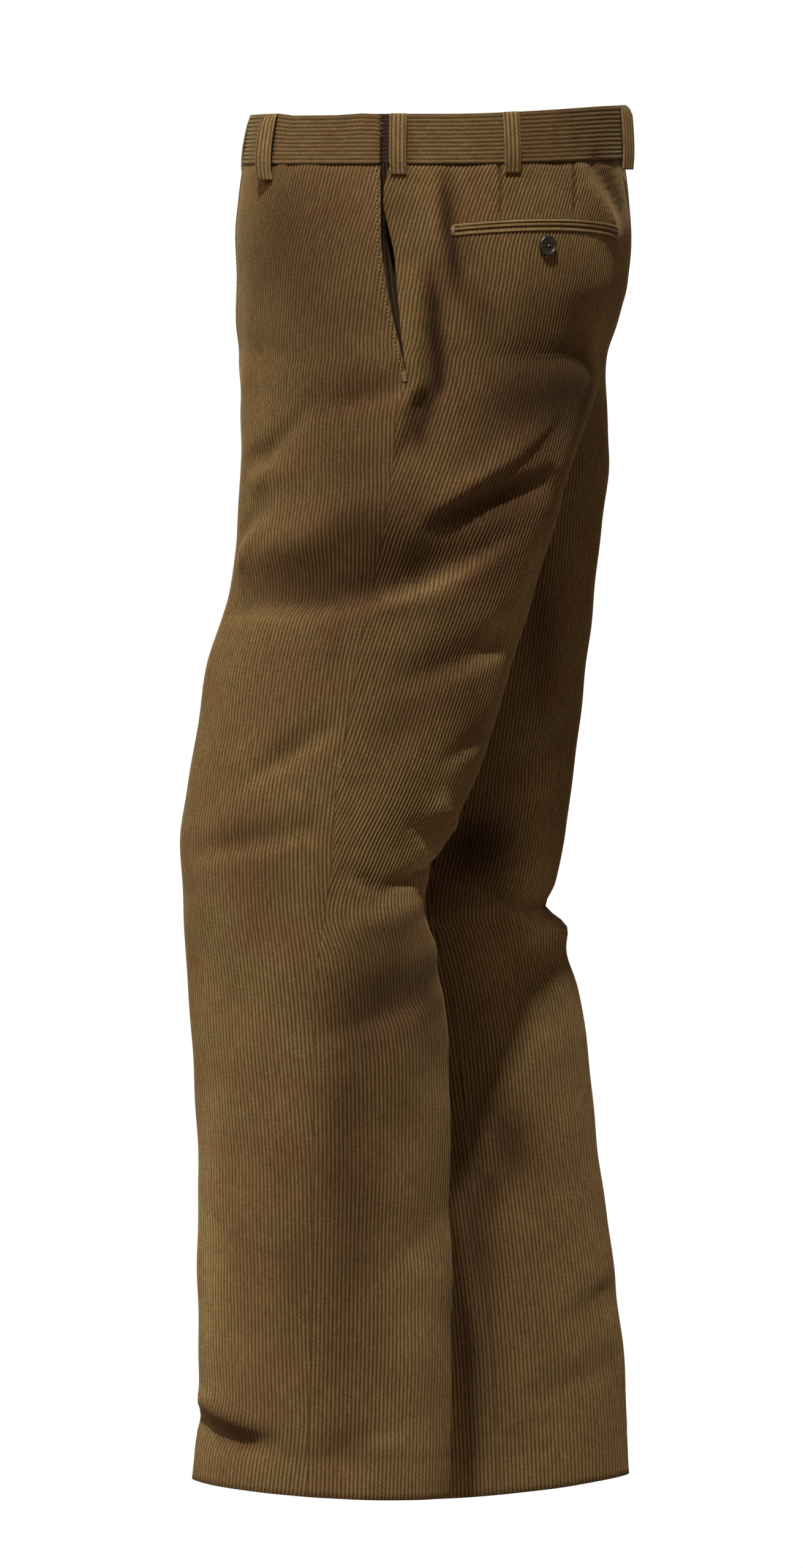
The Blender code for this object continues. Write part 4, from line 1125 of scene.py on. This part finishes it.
for name in JETS:
    for leg in LEGS:
        pocket_jet(name, leg)
for leg in LEGS:
    bars = [(s, pocket_line(s) + dz) for end in (POCKET_START, POCKET_END)
            for s in end + np.array([-0.0012, -0.0005, 0.0002, 0.0009]) for dz in (-0.0036, 0.0058)]
    stitches(f"back_pocket_stitches_{leg}", sewn_line(leg, bars, 0.0012), THREAD)

# ----------------------------------------------------------
# Buttons: dark brown polished horn with a raised rim and four holes, one below each back
# pocket's slit, sewn on with crossed thread.
BUTTON_PLACE = (0.1287, -0.0815)
CROSS_REACH = 0.0013
CROSS_LIFT = 0.0029
BUTTON_THREAD = 0.0004

# Polished horn: nearly black brown in fine layers, glossy, so that the rim catches the lamp.
horn, tree = new_material("dark_horn")
place = add(tree, "TexCoord")
streaks = add(tree, "Mapping", {"Vector": place.outputs["Object"], "Scale": (260.0, 900.0, 260.0)})
layers = add(tree, "TexNoise", {"Vector": streaks, "Scale": 1.0, "Detail": 4.0})
tint = add(tree, "Mix", {0: layers.outputs["Fac"], 6: linear("#15110f"), 7: linear("#382c25")},
           data_type="RGBA")
gloss = add(tree, "MapRange", {"Value": layers.outputs["Fac"], "To Min": 0.28, "To Max": 0.45})
finish_material(tree, add(tree, "BsdfPrincipled", {
    "Base Color": tint.outputs[2], "Roughness": gloss, "Specular IOR Level": 0.3}))
for leg in LEGS:
    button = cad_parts[f"pocket_button_{leg}"]
    button.data.materials.clear()
    button.data.materials.append(horn)
    s, z = BUTTON_PLACE
    crossed = [[over_cloth(leg, [s + reach], z + reach * slant, CROSS_LIFT)[0]
                for reach in (-CROSS_REACH, CROSS_REACH)] for slant in (1, -1)]
    stitches(f"button_thread_{leg}", crossed, BUTTON_THREAD)

# ----------------------------------------------------------
# Fly: the left front laps over the right and is closed. A facing of plain cotton lies behind the
# two, and a curved row of stitches on the left front follows its edge.
FLY_TOP = -0.022
FLY_REACH = (-0.012, 0.036)
FLY_WALL = 0.0016
FLY_GAP = 0.0015
FLY_ROWS, FLY_COLUMNS = 26, 13
FLY_STITCHES = (
    # z, distance from the front edge
    (-0.021, 0.0375), (-0.060, 0.0375), (-0.100, 0.0375), (-0.125, 0.0350), (-0.140, 0.0280),
    (-0.150, 0.0165), (-0.157, 0.0020),
)

# A firm cotton twill, woven matt and a little greyer than the corduroy's wrong side.
fly_cotton = twill("fly_cotton", "#5e4c38", "#453626")
across = np.linspace(*FLY_REACH, FLY_COLUMNS)
grid = []
for z in np.linspace(FLY_TOP, FLY_BOTTOM, FLY_ROWS):
    line = []
    for depth, places in ((0.0, across), (FLY_WALL, across[::-1])):
        for x in places:
            leg = "left" if x > 0 else "right"
            along = np.array([row(leg, FRONT, z).whole - abs(x)])
            line.append(cloth(leg, FRONT, z, along, -WALL - FLY_GAP - depth)[0])
    line.append(line[0])
    grid.append((line, [(i * 0.004, z) for i in range(len(line))]))
fly = cloth_mesh("fly_facing_cloth", ((grid, 0),), (fly_cotton,))
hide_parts("fly_facing")

corners = [(from_edge - row("left", FRONT, z).whole, z) for z, from_edge in FLY_STITCHES]
curve = [place for ends in zip(corners, corners[1:]) for place in along_line(*ends)]
stitches("fly_stitches", sewn_line("left", curve, 0.0009), THREAD)
